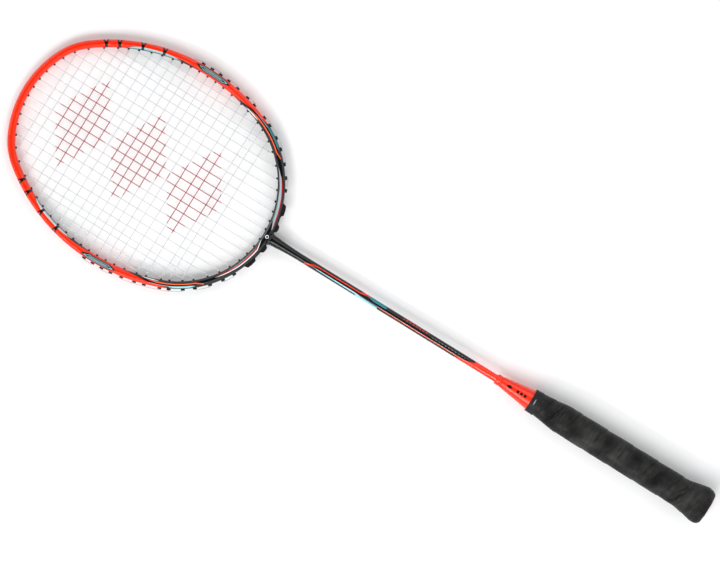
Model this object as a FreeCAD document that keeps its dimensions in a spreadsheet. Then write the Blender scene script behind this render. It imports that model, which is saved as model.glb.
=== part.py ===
"""Badminton racket as a parametric FreeCAD document.

Frame: millimetres, +Y along the shaft from the butt to the crown, +X to the right of the head,
+Z up from the string face.  The origin is the middle of the butt's end face and z = 0 is the
middle plane of the hoop.
"""
import FreeCAD, Part
import math
import os

import Sketcher

Vector = FreeCAD.Vector
UP = Vector(0, 0, 1)

# ---------------------------------------------------------------------------------- dimensions
SIZES = [
    # alias, value, meaning
    ("overall_length", 675.0, "butt face to the crown's outer edge"),
    ("head_length", 242.6, "crown's outer edge to the throat's outer edge"),
    ("head_width", 190.4, "outer width of the hoop at its widest"),
    ("crown_to_widest", 124.0, "crown's outer edge down to the widest point"),
    ("crown_angle", 26.6, "degrees turned by the crown arc, each side"),
    ("upper_shoulder_end", 51.9, "degrees turned at the end of the upper shoulder arc"),
    ("upper_shoulder_radius", 56.0, "outer radius of the upper shoulder arc"),
    ("throat_angle", 40.8, "degrees turned by the throat arc, each side"),
    ("lower_shoulder_end", 68.6, "degrees turned at the end of the lower shoulder arc"),
    ("lower_shoulder_radius", 90.5, "outer radius of the lower shoulder arc"),
    ("rim_width", 6.5, "width of the rim in the plane of the strings"),
    ("rim_height", 10.4, "height of the rim across the plane of the strings"),
    ("rim_wall", 1.1, "carbon wall of the rim"),
    ("rim_inner_flat", 4.8, "height of the flat on the inner side of the rim"),
    ("rim_outer_flat", 5.8, "height of the flat on the outer side of the rim"),
    ("rim_top_flat", 2.6, "width of the flat along the top of the rim"),
    ("rim_rounding", 1.2, "rounding of the rim's long edges"),
    ("groove_depth", 1.9, "depth of the channel round the outside of the crown"),
    ("groove_height", 4.2, "height of that channel"),
    ("groove_reach", 114.5, "how far below the crown the channel runs"),
    ("string_diameter", 0.7, "string"),
    ("main_count", 22, "strings along the racket"),
    ("close_mains", 3, "mains each side that stand closer together"),
    ("close_main_share", 0.8, "their pitch against the pitch of the others"),
    ("main_edge_gap", 7.45, "outermost main to the rim's inner wall"),
    ("cross_count", 21, "strings across the racket"),
    ("cross_crown_gap", 16.7, "last cross to the crown's inner wall"),
    ("cross_throat_gap", 36.7, "first cross to the throat's inner wall"),
    ("shared_hole_gap", 6.0, "a main and a cross nearer than this share a hole"),
    ("weave_clearance", 0.03, "gap between a cross and a main where they pass"),
    ("weave_radius", 2.5, "bend of a cross over a main"),
    ("pair_gap", 0.04, "gap between two strings in one hole"),
    ("bore_room", 0.1, "grommet bore beyond two strings"),
    ("barrel_wall", 0.2, "wall of the grommet barrel"),
    ("drill_clearance", 0.05, "grommet barrel to its hole, all round"),
    ("tip_length", 1.1, "grommet barrel inside the hoop"),
    ("bend_room", 1.3, "string from the grommet's tip to its bend"),
    ("flange_brim", 0.75, "grommet head beyond its barrel, all round"),
    ("flange_height", 1.4, "grommet head on the open sides"),
    ("groove_flange_height", 0.5, "grommet head in the crown channel"),
    ("run_bend", 0.8, "bend of the string over a grommet head"),
    ("lobe_height", 2.7, "grommet strip lobe at the throat"),
    ("lobe_floor", 1.2, "floor of the string slot in a lobe"),
    ("lobe_width", 4.4, "grommet strip lobe across the string plane"),
    ("slot_room", 0.25, "string slot in a lobe beyond the bore, each side"),
    ("lobe_margin", 1.3, "lobe past the middle of its last hole"),
    ("strip_thickness", 0.7, "band that joins the lobes of a strip"),
    ("throat_hole_lean", 0.35, "how far the throat holes lean: 0 is along the mains, 1 is square to the rim"),
    ("throat_hole_shift", 2.9, "outer end of the two middle throat holes, moved outward"),
    ("shaft_diameter", 6.5, "shaft"),
    ("shaft_bore", 4.1, "bore of the shaft"),
    ("neck_length", 28.4, "fairing from the shaft's end to the throat's outer edge"),
    ("neck_waist_swell", 0.5, "fairing beyond the shaft half way up its neck"),
    ("neck_top_swell", 1.65, "fairing beyond the shaft where it meets the hoop"),
    ("pin_length", 24.0, "pin of the T-joint below the fairing"),
    ("wing_angle", 12.0, "degrees each wing of the T-joint reaches round the throat"),
    ("glue_gap", 0.05, "glue line between a tube and what it fits"),
    ("cone_top", 208.5, "top of the cone from the butt face"),
    ("cone_base", 160.0, "base of the cone from the butt face"),
    ("cone_collar_wall", 1.35, "collar beyond the shaft at the cone's top"),
    ("cone_collar_length", 4.5, "collar at the cone's top"),
    ("cone_base_diameter", 18.8, "cone at its base"),
    ("cone_edge_diameter", 17.9, "cone where the grip ends"),
    ("cone_wall", 2.4, "cone beyond the wooden spigot inside its base"),
    ("spigot_length", 9.0, "spigot of the wooden handle"),
    ("shaft_seat", 60.0, "bottom of the shaft from the butt face"),
    ("handle_width", 23.0, "wooden handle in the plane of the strings"),
    ("handle_thickness", 19.6, "wooden handle across the plane of the strings"),
    ("handle_chamfer", 5.6, "corner facet of the wooden handle, along each side"),
    ("handle_shoulder", 144.0, "where the wooden handle starts to taper to the cone"),
    ("butt_width", 30.3, "wooden handle at its flared end"),
    ("butt_thickness", 26.5, "wooden handle at its flared end, across"),
    ("butt_chamfer", 7.6, "corner facet of the flared end"),
    ("butt_flare_end", 25.0, "where the flare meets the straight handle"),
    ("cap_length", 6.5, "butt cap from the butt face to the wood"),
    ("cap_taper", 2.2, "how much narrower the butt cap is at its face, each side"),
    ("plug_diameter", 12.0, "plug of the butt cap inside the wood"),
    ("plug_length", 9.0, "plug of the butt cap"),
    ("disc_diameter", 18.0, "medallion in the butt cap"),
    ("disc_thickness", 0.8, "medallion"),
    ("disc_proud", 0.3, "medallion proud of the cap"),
    ("tape_thickness", 1.6, "grip tape as it is wound"),
    ("tape_start", 1.0, "tape's edge at the butt"),
    ("tape_end", 174.5, "tape's edge on the cone"),
    ("band_length", 7.5, "finishing band round the tape's end"),
    ("band_thickness", 0.25, "finishing band"),
    ("staple_width", 8.0, "staple that holds the tape's start"),
    ("staple_leg", 5.0, "leg of the staple"),
    ("staple_wire", 0.5, "wire of the staple"),
    ("staple_place", 34.0, "staple from the butt face"),
]


class Size:
    """A length that carries its number and the sheet expression it is bound to."""

    def __init__(self, number, text):
        self.number = float(number)
        self.text = text

    def _join(self, other, sign, number):
        other_text = other.text if isinstance(other, Size) else repr(float(other))
        return Size(number, "(%s %s %s)" % (self.text, sign, other_text))

    def __add__(self, other):
        return self._join(other, "+", self.number + float(other))

    def __sub__(self, other):
        return self._join(other, "-", self.number - float(other))

    def __mul__(self, other):
        return self._join(other, "*", self.number * float(other))

    def __truediv__(self, other):
        return self._join(other, "/", self.number / float(other))

    def __neg__(self):
        return Size(-self.number, "(0 - %s)" % self.text)

    def __float__(self):
        return self.number


class Sheet:
    """The spreadsheet, read by attribute: sheet.rim_width is a Size."""

    def __init__(self, doc):
        self.cells = doc.addObject("Spreadsheet::Sheet", "Sizes")
        for row, (alias, value, meaning) in enumerate(SIZES, start=1):
            self.cells.set("A%d" % row, alias)
            self.cells.set("B%d" % row, str(value))
            self.cells.set("C%d" % row, meaning)
            self.cells.setAlias("B%d" % row, alias)
        doc.recompute()

    def __getattr__(self, alias):
        return Size(getattr(self.cells, alias), "Sizes." + alias)


doc = FreeCAD.newDocument("badminton_racket")
S = Sheet(doc)
ZERO = Size(0.0, "0")


# ------------------------------------------------------------------------------ sketch helpers
def origin_plane(body, role):
    """The body's own origin plane with this role."""
    return [item for item in body.Origin.OriginFeatures if item.Role == role][0]


def add_sketch(body, name, role, offset=None):
    """A sketch on one of the body's origin planes, moved along its normal by offset."""
    sketch = body.newObject("Sketcher::SketchObject", name)
    sketch.AttachmentSupport = [(origin_plane(body, role), "")]
    sketch.MapMode = "FlatFace"
    if offset is not None:
        sketch.AttachmentOffset = FreeCAD.Placement(Vector(0, 0, float(offset)), FreeCAD.Rotation())
        sketch.setExpression("AttachmentOffset.Base.z", offset.text)
    return sketch


def bind(sketch, kind, line, value):
    """Hold the start of a line at a distance from the sketch's origin."""
    if value.text == "0":
        axis = -2 if kind == "DistanceX" else -1
        sketch.addConstraint(Sketcher.Constraint("PointOnObject", line, 1, axis))
        return
    index = sketch.addConstraint(Sketcher.Constraint(kind, -1, 1, line, 1, float(value)))
    sketch.setExpression("Constraints[%d]" % index, value.text)


def add_polygon(sketch, corners):
    """A closed outline with every corner bound to the sheet."""
    count = len(corners)
    places = [Vector(float(a), float(b), 0) for a, b in corners]
    for k in range(count):
        sketch.addGeometry(Part.LineSegment(places[k], places[(k + 1) % count]), False)
    for k in range(count):
        sketch.addConstraint(Sketcher.Constraint("Coincident", k, 2, (k + 1) % count, 1))
    for k, (across, along) in enumerate(corners):
        bind(sketch, "DistanceX", k, across)
        bind(sketch, "DistanceY", k, along)


def new_body(name):
    body = doc.addObject("PartDesign::Body", name)
    body.Label = name
    return body


def turned_body(name, corners):
    """A body turned about the racket's long axis from a half section of (radius, y) corners."""
    body = new_body(name)
    sketch = add_sketch(body, name + "_section", "XY_Plane")
    add_polygon(sketch, corners)
    turning = body.newObject("PartDesign::Revolution", name + "_turning")
    turning.Profile = sketch
    turning.ReferenceAxis = (sketch, ["V_Axis"])
    turning.Angle = 360.0
    return body


def octagon(half_width, half_thickness, chamfer):
    """Corners of a chamfered rectangle."""
    narrow = half_width - chamfer
    low = half_thickness - chamfer
    return [(narrow, half_thickness), (half_width, low), (half_width, -low), (narrow, -half_thickness),
            (-narrow, -half_thickness), (-half_width, -low), (-half_width, low), (-narrow, half_thickness)]


def octagon_loft(name, stations):
    """A body lofted through octagons (y, half width, half thickness, chamfer) across the y axis."""
    body = new_body(name)
    sketches = []
    for k, (along, half_width, half_thickness, chamfer) in enumerate(stations):
        sketch = add_sketch(body, "%s_station_%d" % (name, k), "XZ_Plane", -along)
        add_polygon(sketch, octagon(half_width, half_thickness, chamfer))
        sketches.append(sketch)
    loft = body.newObject("PartDesign::AdditiveLoft", name + "_loft")
    loft.Profile = sketches[0]
    loft.Sections = sketches[1:]
    loft.Ruled = True
    return body


def combine(kind, name, base, tools):
    """A Part boolean of document objects."""
    if kind == "Cut" and len(tools) > 1:
        joined = doc.addObject("Part::MultiFuse", name + "_tools")
        joined.Shapes = tools
        tools = [joined]
    result = doc.addObject("Part::" + kind, name)
    result.Label = name
    result.Base = base
    result.Tool = tools[0]
    return result


def hold_shape(name, shape):
    """A Part::Feature that holds a shape made with Part's functions."""
    feature = doc.addObject("Part::Feature", name)
    feature.Label = name
    feature.Shape = shape
    feature.Placement = FreeCAD.Placement()
    return feature


# -------------------------------------------------------------------------------- path helpers
def round_path(points, radii, closed=False):
    """A wire of straight runs joined by tangent arcs.

    radii gives the largest bend at each point; a short run next to a point makes it smaller.
    """
    count = len(points)
    bends = []
    inner = range(count) if closed else range(1, count - 1)
    for k in inner:
        before = points[k - 1] - points[k]
        after = points[(k + 1) % count] - points[k]
        toward = Vector(before).normalize()
        away = Vector(after).normalize()
        turn = math.pi - toward.getAngle(away)
        if turn < 1e-5:
            bends.append((points[k], None, points[k]))
            continue
        radius = min(radii[k], 0.45 * min(before.Length, after.Length) / math.tan(turn / 2))
        tangent = radius * math.tan(turn / 2)
        middle = Vector(toward + away).normalize() * (radius / math.cos(turn / 2) - radius)
        bends.append((points[k] + toward * tangent, points[k] + middle, points[k] + away * tangent))
    edges = []
    place = bends[-1][2] if closed else points[0]
    for start, middle, end in bends:
        edges.append(Part.LineSegment(place, start).toShape())
        if middle is not None:
            edges.append(Part.Arc(start, middle, end).toShape())
        place = end
    if not closed:
        edges.append(Part.LineSegment(place, points[-1]).toShape())
    return Part.Wire(edges)


def round_rod(points, radii, diameter):
    """A round rod swept along a path of runs and bends."""
    spine = round_path(points, radii)
    start = Vector(points[1] - points[0]).normalize()
    disc = Part.Face(Part.Wire([Part.Circle(points[0], start, diameter / 2).toShape()]))
    return spine.makePipe(disc), spine.Length


# ----------------------------------------------------------------------------------- hoop line
class Hoop:
    """The hoop's outer edge: tangent arcs, placed by the angle of the outward normal.

    A place on the right half is an angle psi from -90 (throat) through 0 (widest) to 90 (crown);
    the left half mirrors it.
    """

    def __init__(self):
        half_width = float(S.head_width) / 2
        upper = float(S.crown_to_widest)
        lower = float(S.head_length) - upper
        self.widest = float(S.overall_length) - upper
        self.upper = self.quarter(half_width, upper, float(S.crown_angle),
                                  float(S.upper_shoulder_end), float(S.upper_shoulder_radius))
        self.lower = self.quarter(half_width, lower, float(S.throat_angle),
                                  float(S.lower_shoulder_end), float(S.lower_shoulder_radius))

    @staticmethod
    def quarter(half_width, height, end_angle, shoulder_angle, shoulder_radius):
        """(from, to, centre x, centre y, radius) of the end, shoulder and side arcs.

        The end and side radii follow from the half width, the height and the tangency.
        """
        first = math.radians(end_angle)
        second = math.radians(shoulder_angle)
        a = math.sin(first)
        b = 1 - math.sin(second)
        c = 1 - math.cos(first)
        d = math.cos(second)
        across = half_width - shoulder_radius * (math.sin(second) - math.sin(first))
        along = height - shoulder_radius * (math.cos(first) - math.cos(second))
        end_radius = (across * d - b * along) / (a * d - b * c)
        side_radius = (a * along - c * across) / (a * d - b * c)
        end_y = height - end_radius
        shoulder_x = (end_radius - shoulder_radius) * math.sin(first)
        shoulder_y = end_y + (end_radius - shoulder_radius) * math.cos(first)
        return [(0.0, end_angle, 0.0, end_y, end_radius),
                (end_angle, shoulder_angle, shoulder_x, shoulder_y, shoulder_radius),
                (shoulder_angle, 90.0, half_width - side_radius, 0.0, side_radius)]

    def arcs(self):
        """Arcs of the right half from the throat to the crown: (psi from, psi to, centre, radius)."""
        found = []
        for start, end, x, y, radius in self.lower:
            found.append((start - 90, end - 90, Vector(x, self.widest - y, 0), radius))
        for start, end, x, y, radius in reversed(self.upper):
            found.append((90 - end, 90 - start, Vector(x, self.widest + y, 0), radius))
        return found

    def point(self, psi, outward=0.0, side=1):
        for start, end, centre, radius in self.arcs():
            if start - 1e-9 <= psi <= end + 1e-9:
                angle = math.radians(psi)
                spot = centre + Vector(math.cos(angle), math.sin(angle), 0) * (radius + outward)
                return Vector(spot.x * side, spot.y, 0)
        raise ValueError("no arc of the hoop at %g degrees" % psi)

    def normal(self, psi, side=1):
        return Vector(math.cos(math.radians(psi)) * side, math.sin(math.radians(psi)), 0)

    def place(self, axis, value, low, high, outward=0.0):
        """The angle between low and high where a coordinate of the hoop has this value."""
        def excess(psi):
            spot = self.point(psi, outward)
            return (spot.x if axis == "x" else spot.y) - value
        rising = excess(high) > excess(low)
        for _ in range(50):
            middle = (low + high) / 2
            if (excess(middle) > 0) == rising:
                high = middle
            else:
                low = middle
        return (low + high) / 2

    def distance(self, first, second):
        """Length of the outer edge between two angles."""
        low = min(first, second)
        high = max(first, second)
        return sum(math.radians(max(0.0, min(high, end) - max(low, start))) * radius
                   for start, end, _, radius in self.arcs())

    def edges(self, outward, low, high, side=1):
        """Arc edges of the offset curve from low to high on one half."""
        found = []
        for start, end, centre, radius in self.arcs():
            start = max(start, low)
            end = min(end, high)
            if end - start > 1e-6:
                ends = [self.point(start, outward, side), self.point((start + end) / 2, outward, side),
                        self.point(end, outward, side)]
                found.append(Part.Arc(*ends).toShape())
        return found


hoop = Hoop()


def swept_section(section, low, high):
    """Sweep a section of (outward, z) corners round both halves between two angles.

    The whole hoop is closed; a part of it runs from the right half through the throat or the
    crown to the left half.
    """
    halves = []
    for side in (1, -1):
        edges = hoop.edges(-float(S.rim_width) / 2, low, high, side)
        spine = Part.Wire(edges)
        start = hoop.point(low, 0.0, side)
        outward = hoop.normal(low, side)
        corners = [start + outward * u + UP * z for u, z, _ in section]
        outline = round_path(corners, [radius for _, _, radius in section], True)
        halves.append(spine.makePipeShell([outline], True, False))
    return halves[0].fuse(halves[1]).removeSplitter()


def ring_block(inner, outer, half_height, low, high, side):
    """A block between two offsets of the hoop and two angles, as high as given each way."""
    near = hoop.edges(inner, low, high, side)
    far = hoop.edges(outer, low, high, side)
    ends = [Part.LineSegment(hoop.point(low, inner, side), hoop.point(low, outer, side)).toShape(),
            Part.LineSegment(hoop.point(high, inner, side), hoop.point(high, outer, side)).toShape()]
    outline = Part.Wire(Part.__sortEdges__(near + far + ends))
    block = Part.Face(outline).extrude(UP * (2 * half_height))
    block.translate(UP * -half_height)
    return block


# ------------------------------------------------------------------------------- rim of carbon
RIM_WIDTH = float(S.rim_width)
WALL = float(S.rim_wall)


def rim_outline():
    """(outward, z, rounding) corners of the rim, with 0 at its outer wall."""
    inner = float(S.rim_inner_flat) / 2
    outer = float(S.rim_outer_flat) / 2
    ridge = float(S.rim_top_flat) / 2
    top = float(S.rim_height) / 2
    middle = -RIM_WIDTH / 2
    rounding = float(S.rim_rounding)
    upper = [(-RIM_WIDTH, inner), (middle - ridge, top), (middle + ridge, top), (0.0, outer)]
    lower = [(u, -z) for u, z in reversed(upper)]
    return [(u, z, rounding) for u, z in upper + lower]


# corners of the rim's outline run clockwise, so its edge normals point inward
SECTION_TURN = -1


def inset(corners, distance):
    """A convex outline moved inward by a wall thickness, with sharp corners."""
    count = len(corners)
    lines = []
    for k in range(count):
        u1, z1 = corners[k][:2]
        u2, z2 = corners[(k + 1) % count][:2]
        length = math.hypot(u2 - u1, z2 - z1)
        normal = ((z2 - z1) / length, -(u2 - u1) / length)
        lines.append((normal, normal[0] * u1 + normal[1] * z1 - distance * SECTION_TURN))
    moved = []
    for k in range(count):
        (a, b), first = lines[k - 1]
        (c, d), second = lines[k]
        scale = a * d - b * c
        moved.append(((first * d - b * second) / scale, (a * second - c * first) / scale))
    return moved


def cavity_outline(outer_limit):
    """The rim's hollow, no further out than outer_limit."""
    corners = inset(rim_outline(), WALL)
    rounding = float(S.rim_rounding) / 3
    kept = []
    for u, z in corners:
        kept.append((min(u, outer_limit), z, rounding))
    return kept


GROOVE_FLOOR = -float(S.groove_depth)
groove_end = hoop.place("y", float(S.overall_length) - float(S.groove_reach), -90, 90)

rim_envelope = hold_shape("rim_envelope", swept_section(rim_outline(), -90, 90))
crown_hollow = swept_section(cavity_outline(GROOVE_FLOOR - WALL), groove_end - 1, 90)
lower_hollow = swept_section(cavity_outline(0.0), -90, groove_end - 1)
crown_groove = [ring_block(GROOVE_FLOOR, 2 * WALL, float(S.groove_height) / 2, groove_end, 90, side)
                for side in (1, -1)]
rim_hollow = hold_shape("rim_hollow", crown_hollow.fuse([lower_hollow]))
rim_groove = hold_shape("rim_groove", crown_groove[0].fuse(crown_groove[1]))


# -------------------------------------------------------------------------------- string places
STRING = float(S.string_diameter)
BORE = 2 * STRING + float(S.bore_room)
BARREL = BORE + 2 * float(S.barrel_wall)
MAIN_Z = (STRING + float(S.pair_gap)) / 2
LOBE_MAINS = [(0, "lower"), (1, "lower"), (2, "lower"), (3, "lower")]

# steps between crosses from the throat up, against the closest ones in the middle
FIRST_CROSS_STEP = 1.35
LOWER_CROSS_STEP = 1.145
UPPER_CROSS_STEP = 1.114
CLOSEST_CROSSES = range(6, 12)


class Hole:
    """A grommet hole: its place on the hoop and the string ends that use it."""

    def __init__(self, psi, side):
        self.psi = psi
        self.side = side
        self.mains = []
        self.crosses = []
        self.in_groove = psi > groove_end
        self.in_lobe = False
        self.exit_psi = psi

    def set_axis(self):
        """The bend point inside the hoop, the exit on its outer edge and the axis between them."""
        reach = -(RIM_WIDTH + float(S.tip_length) + float(S.bend_room))
        self.bend = hoop.point(self.psi, reach, self.side)
        self.exit = hoop.point(self.exit_psi, 0.0, self.side)
        self.axis = Vector(self.exit - self.bend).normalize()
        self.rise = 1.0 / self.axis.dot(hoop.normal(self.exit_psi, self.side))

    def at(self, outward):
        """The point of the axis at a height over the hoop's outer edge."""
        return self.exit + self.axis * (outward * self.rise)

    def head(self):
        """(base, top) of the grommet head over the hoop's outer edge."""
        if self.in_groove:
            return GROOVE_FLOOR, GROOVE_FLOOR + float(S.groove_flange_height)
        if self.in_lobe:
            return 0.0, float(S.lobe_floor)
        return 0.0, float(S.flange_height)


def main_places():
    """x of the mains on the right half, from the middle outward."""
    per_side = int(float(S.main_count)) // 2
    close = int(float(S.close_mains))
    share = float(S.close_main_share)
    steps = [1.0] * (per_side - 1 - close) + [share] * close
    outermost = float(S.head_width) / 2 - RIM_WIDTH - float(S.main_edge_gap)
    unit = outermost / (0.5 + sum(steps))
    places = [0.5 * unit]
    for step in steps:
        places.append(places[-1] + step * unit)
    return places


def cross_places():
    """y of the crosses from the throat up: wider near the throat, closest in the middle."""
    count = int(float(S.cross_count))
    first = float(S.overall_length) - float(S.head_length) + RIM_WIDTH + float(S.cross_throat_gap)
    last = float(S.overall_length) - RIM_WIDTH - float(S.cross_crown_gap)
    steps = [FIRST_CROSS_STEP]
    for k in range(1, count - 1):
        if k in CLOSEST_CROSSES:
            steps.append(1.0)
        else:
            steps.append(LOWER_CROSS_STEP if k < CLOSEST_CROSSES[0] else UPPER_CROSS_STEP)
    unit = (last - first) / sum(steps)
    places = [first]
    for step in steps:
        places.append(places[-1] + step * unit)
    return places


def make_holes(side):
    """The holes of one half from the throat to the crown, each with its string ends."""
    reach = -(RIM_WIDTH + float(S.tip_length) + float(S.bend_room))
    ends = []
    for k, x in enumerate(main_places()):
        ends.append((hoop.place("x", x, -90, 0, reach), "main", (k, "lower")))
        ends.append((hoop.place("x", x, 0, 90, reach), "main", (k, "upper")))
    for k, y in enumerate(cross_places()):
        ends.append((hoop.place("y", y, -90, 90, reach), "cross", k))
    mains = sorted(end for end in ends if end[1] == "main")
    crosses = sorted(end for end in ends if end[1] == "cross")
    pairs = sorted((hoop.distance(main[0], cross[0]), main, cross) for main in mains for cross in crosses)
    taken = []
    found = []
    for gap, main, cross in pairs:
        if gap > float(S.shared_hole_gap):
            break
        if main in taken or cross in taken:
            continue
        taken += [main, cross]
        hole = Hole((main[0] + cross[0]) / 2, side)
        hole.mains.append(main[2])
        hole.crosses.append(cross[2])
        found.append(hole)
    for end in mains + crosses:
        if end not in taken:
            hole = Hole(end[0], side)
            (hole.mains if end[1] == "main" else hole.crosses).append(end[2])
            found.append(hole)
    found.sort(key=lambda hole: hole.psi)
    for hole in found:
        hole.in_lobe = any(main in LOBE_MAINS for main in hole.mains)
        if hole.in_lobe:
            inner_x = hoop.point(hole.psi, reach).x
            outer_x = inner_x + (hoop.point(hole.psi).x - inner_x) * float(S.throat_hole_lean)
            if (0, "lower") in hole.mains:
                outer_x += float(S.throat_hole_shift)
            hole.exit_psi = hoop.place("x", outer_x, -90, 0)
        hole.set_axis()
    return found


holes = {1: make_holes(1), -1: make_holes(-1)}
MAINS_PER_SIDE = len(main_places())
CROSSES = len(cross_places())


def main_hole(side, index, end):
    return [hole for hole in holes[side] if (index, end) in hole.mains][0]


def cross_hole(side, index):
    return [hole for hole in holes[side] if index in hole.crosses][0]


# ------------------------------------------------------------------------------------ drillings
def drilling(hole):
    """The hole through the rim, from inside the hoop to past its outer edge."""
    radius = BARREL / 2 + float(S.drill_clearance)
    start = hole.at(-(RIM_WIDTH + WALL))
    length = (hole.at(2 * WALL) - start).Length
    return Part.makeCylinder(radius, length, start, hole.axis)


all_holes = holes[1] + holes[-1]
drillings = hold_shape("string_drillings", Part.makeCompound([drilling(hole) for hole in all_holes]))
throat_y = S.overall_length - S.head_length
pin_radius = S.shaft_bore / 2 - S.glue_gap * 2
pin_room = pin_radius + S.glue_gap
pin_hole = turned_body("pin_hole", [
    (ZERO, throat_y - S.rim_wall), (pin_room, throat_y - S.rim_wall),
    (pin_room, throat_y + S.rim_wall * 1.5), (ZERO, throat_y + S.rim_wall * 1.5)])
head_frame = combine("Cut", "head_frame", rim_envelope, [rim_hollow, rim_groove, drillings, pin_hole])


# ------------------------------------------------------------------------------------- grommets
def grommet(hole):
    """A barrel through the rim with a head outside, bored for the string."""
    base, top = hole.head()
    tip = hole.at(-(RIM_WIDTH + float(S.tip_length)))
    seat = hole.at(base)
    length = (hole.at(top) - tip).Length
    barrel = Part.makeCylinder(BARREL / 2, length, tip, hole.axis)
    bore = Part.makeCylinder(BORE / 2, length + 2 * WALL, tip - hole.axis * WALL, hole.axis)
    head_radius = BARREL / 2 + float(S.flange_brim)
    head = Part.makeCylinder(head_radius, (hole.at(top) - seat).Length, seat, hole.axis)
    return barrel.fuse(head).cut(bore)


# shape of a lobe: its end slope and rise against its height, and its slot against its margin
LOBE_SLOPE = 0.7
LOBE_SHOULDER = 0.8
LOBE_RISE = 1.1
SLOT_REACH = 0.62
LOBE_BENDS = [0.2, 2.0, 8.0, 2.0, 0.2, 0.5]


def lobe(side, first, last):
    """A rounded lobe on the throat's outer edge over two neighbouring holes, with a string slot."""
    margin = math.degrees(float(S.lobe_margin) / hoop.arcs()[0][3])
    low = first.exit_psi - margin
    high = last.exit_psi + margin
    top = float(S.lobe_height)
    shoulder = math.degrees(top * LOBE_SLOPE / hoop.arcs()[0][3]) * LOBE_SHOULDER
    corners = [hoop.point(low, 0.0, side), hoop.point(low + shoulder, top, side),
               hoop.point((low + high) / 2, top * LOBE_RISE, side),
               hoop.point(high - shoulder, top, side), hoop.point(high, 0.0, side),
               hoop.point((low + high) / 2, -WALL, side)]
    outline = round_path(corners, LOBE_BENDS, True)
    half = float(S.lobe_width) / 2
    block = Part.Face(outline).extrude(UP * (2 * half))
    block.translate(UP * -half)
    reach = SLOT_REACH * margin
    slot = ring_block(float(S.lobe_floor), 2 * top, BORE / 2 + float(S.slot_room),
                      first.exit_psi - reach, last.exit_psi + reach, side)
    return block.cut(slot).cut(rim_envelope.Shape)


def throat_strip(side):
    """The grommet strip at one side of the throat: two lobes on a thin band, with four barrels."""
    ends = [main_hole(side, k, "lower") for k in range(4)]
    band = ring_block(0.0, float(S.strip_thickness), float(S.lobe_width) / 2,
                      ends[0].exit_psi, ends[3].exit_psi, side)
    body = band.fuse([lobe(side, ends[0], ends[1]), lobe(side, ends[2], ends[3])])
    for hole in ends:
        tip = hole.at(-(RIM_WIDTH + float(S.tip_length)))
        length = (hole.at(float(S.lobe_floor)) - tip).Length
        body = body.fuse(Part.makeCylinder(BARREL / 2, length, tip, hole.axis))
    for hole in ends:
        tip = hole.at(-(RIM_WIDTH + 2 * float(S.tip_length)))
        length = (hole.at(2 * float(S.lobe_height)) - tip).Length
        body = body.cut(Part.makeCylinder(BORE / 2, length, tip, hole.axis))
    return body.removeSplitter()


def grommet_zone(hole):
    """The name of the node that a hole's grommet belongs to."""
    side = "right" if hole.side > 0 else "left"
    if hole.in_lobe:
        return side + "_throat_strip"
    if not hole.in_groove:
        return side + "_side_grommets"
    if hole.psi > 90 - float(S.crown_angle):
        return "crown_grommets"
    return side + "_shoulder_grommets"


grommet_groups = {}
for hole in all_holes:
    if not hole.in_lobe:
        grommet_groups.setdefault(grommet_zone(hole), []).append(grommet(hole))
grommet_nodes = [hold_shape(name, Part.makeCompound(solids)) for name, solids in grommet_groups.items()]
for side, name in ((1, "right_throat_strip"), (-1, "left_throat_strip")):
    grommet_nodes.append(hold_shape(name, throat_strip(side)))


# -------------------------------------------------------------------------------------- strings
RUN_BEND = float(S.run_bend)
INNER_BEND = 2.0
STEP_LIMIT = 1.3
KNOT_PLACE = 1.5
KNOT_GAP = 0.03


def outside_run(first, second, z):
    """Points of the string outside the hoop, from one hole to the other, over any head between."""
    low, high = sorted((first.psi, second.psi))
    passed = [hole for hole in holes[first.side] if low <= hole.psi <= high and first.side == second.side]
    if not passed:
        passed = [first, second]
    if passed[0] is not first:
        passed.reverse()
    levels = [hole.head()[1] + RUN_BEND for hole in passed]
    floor = max(levels) - STEP_LIMIT
    return [hole.at(max(level, floor)) + UP * z for hole, level in zip(passed, levels)]


def knot(anchor, toward, z_side):
    """Two turns of string round another string just inside the hoop, and where its end meets them."""
    direction = Vector(toward - anchor).normalize()
    pitch = STRING + KNOT_GAP
    turns = [Part.makeTorus(pitch, STRING / 2, anchor + direction * (KNOT_PLACE + step), direction)
             for step in (0.0, pitch)]
    end = anchor + direction * (KNOT_PLACE - STRING / 2 - KNOT_GAP) + UP * (z_side * pitch)
    return turns, end


class StringPath:
    """Points and largest bends of one string, collected along its route."""

    def __init__(self):
        self.points = []
        self.radii = []

    def add(self, point, radius):
        self.points.append(point)
        self.radii.append(radius)


def main_line(side, index):
    """Bend points of a main: lower, upper."""
    return [main_hole(side, index, end).bend + UP * MAIN_Z for end in ("lower", "upper")]


def cross_line(index):
    """Bend points of a cross: left, right."""
    return [cross_hole(side, index).bend - UP * MAIN_Z for side in (-1, 1)]


def lifted(points):
    """Raise each woven point by what its bend takes away, so that the strings just clear."""
    placed = [points[0]]
    for before, point, after in zip(points, points[1:], points[2:]):
        turn = math.pi - (before - point).getAngle(after - point)
        shortfall = float(S.weave_radius) * (1 / math.cos(turn / 2) - 1)
        placed.append(point + UP * math.copysign(shortfall * 1.2, point.z - MAIN_Z))
    return placed[1:]


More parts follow.
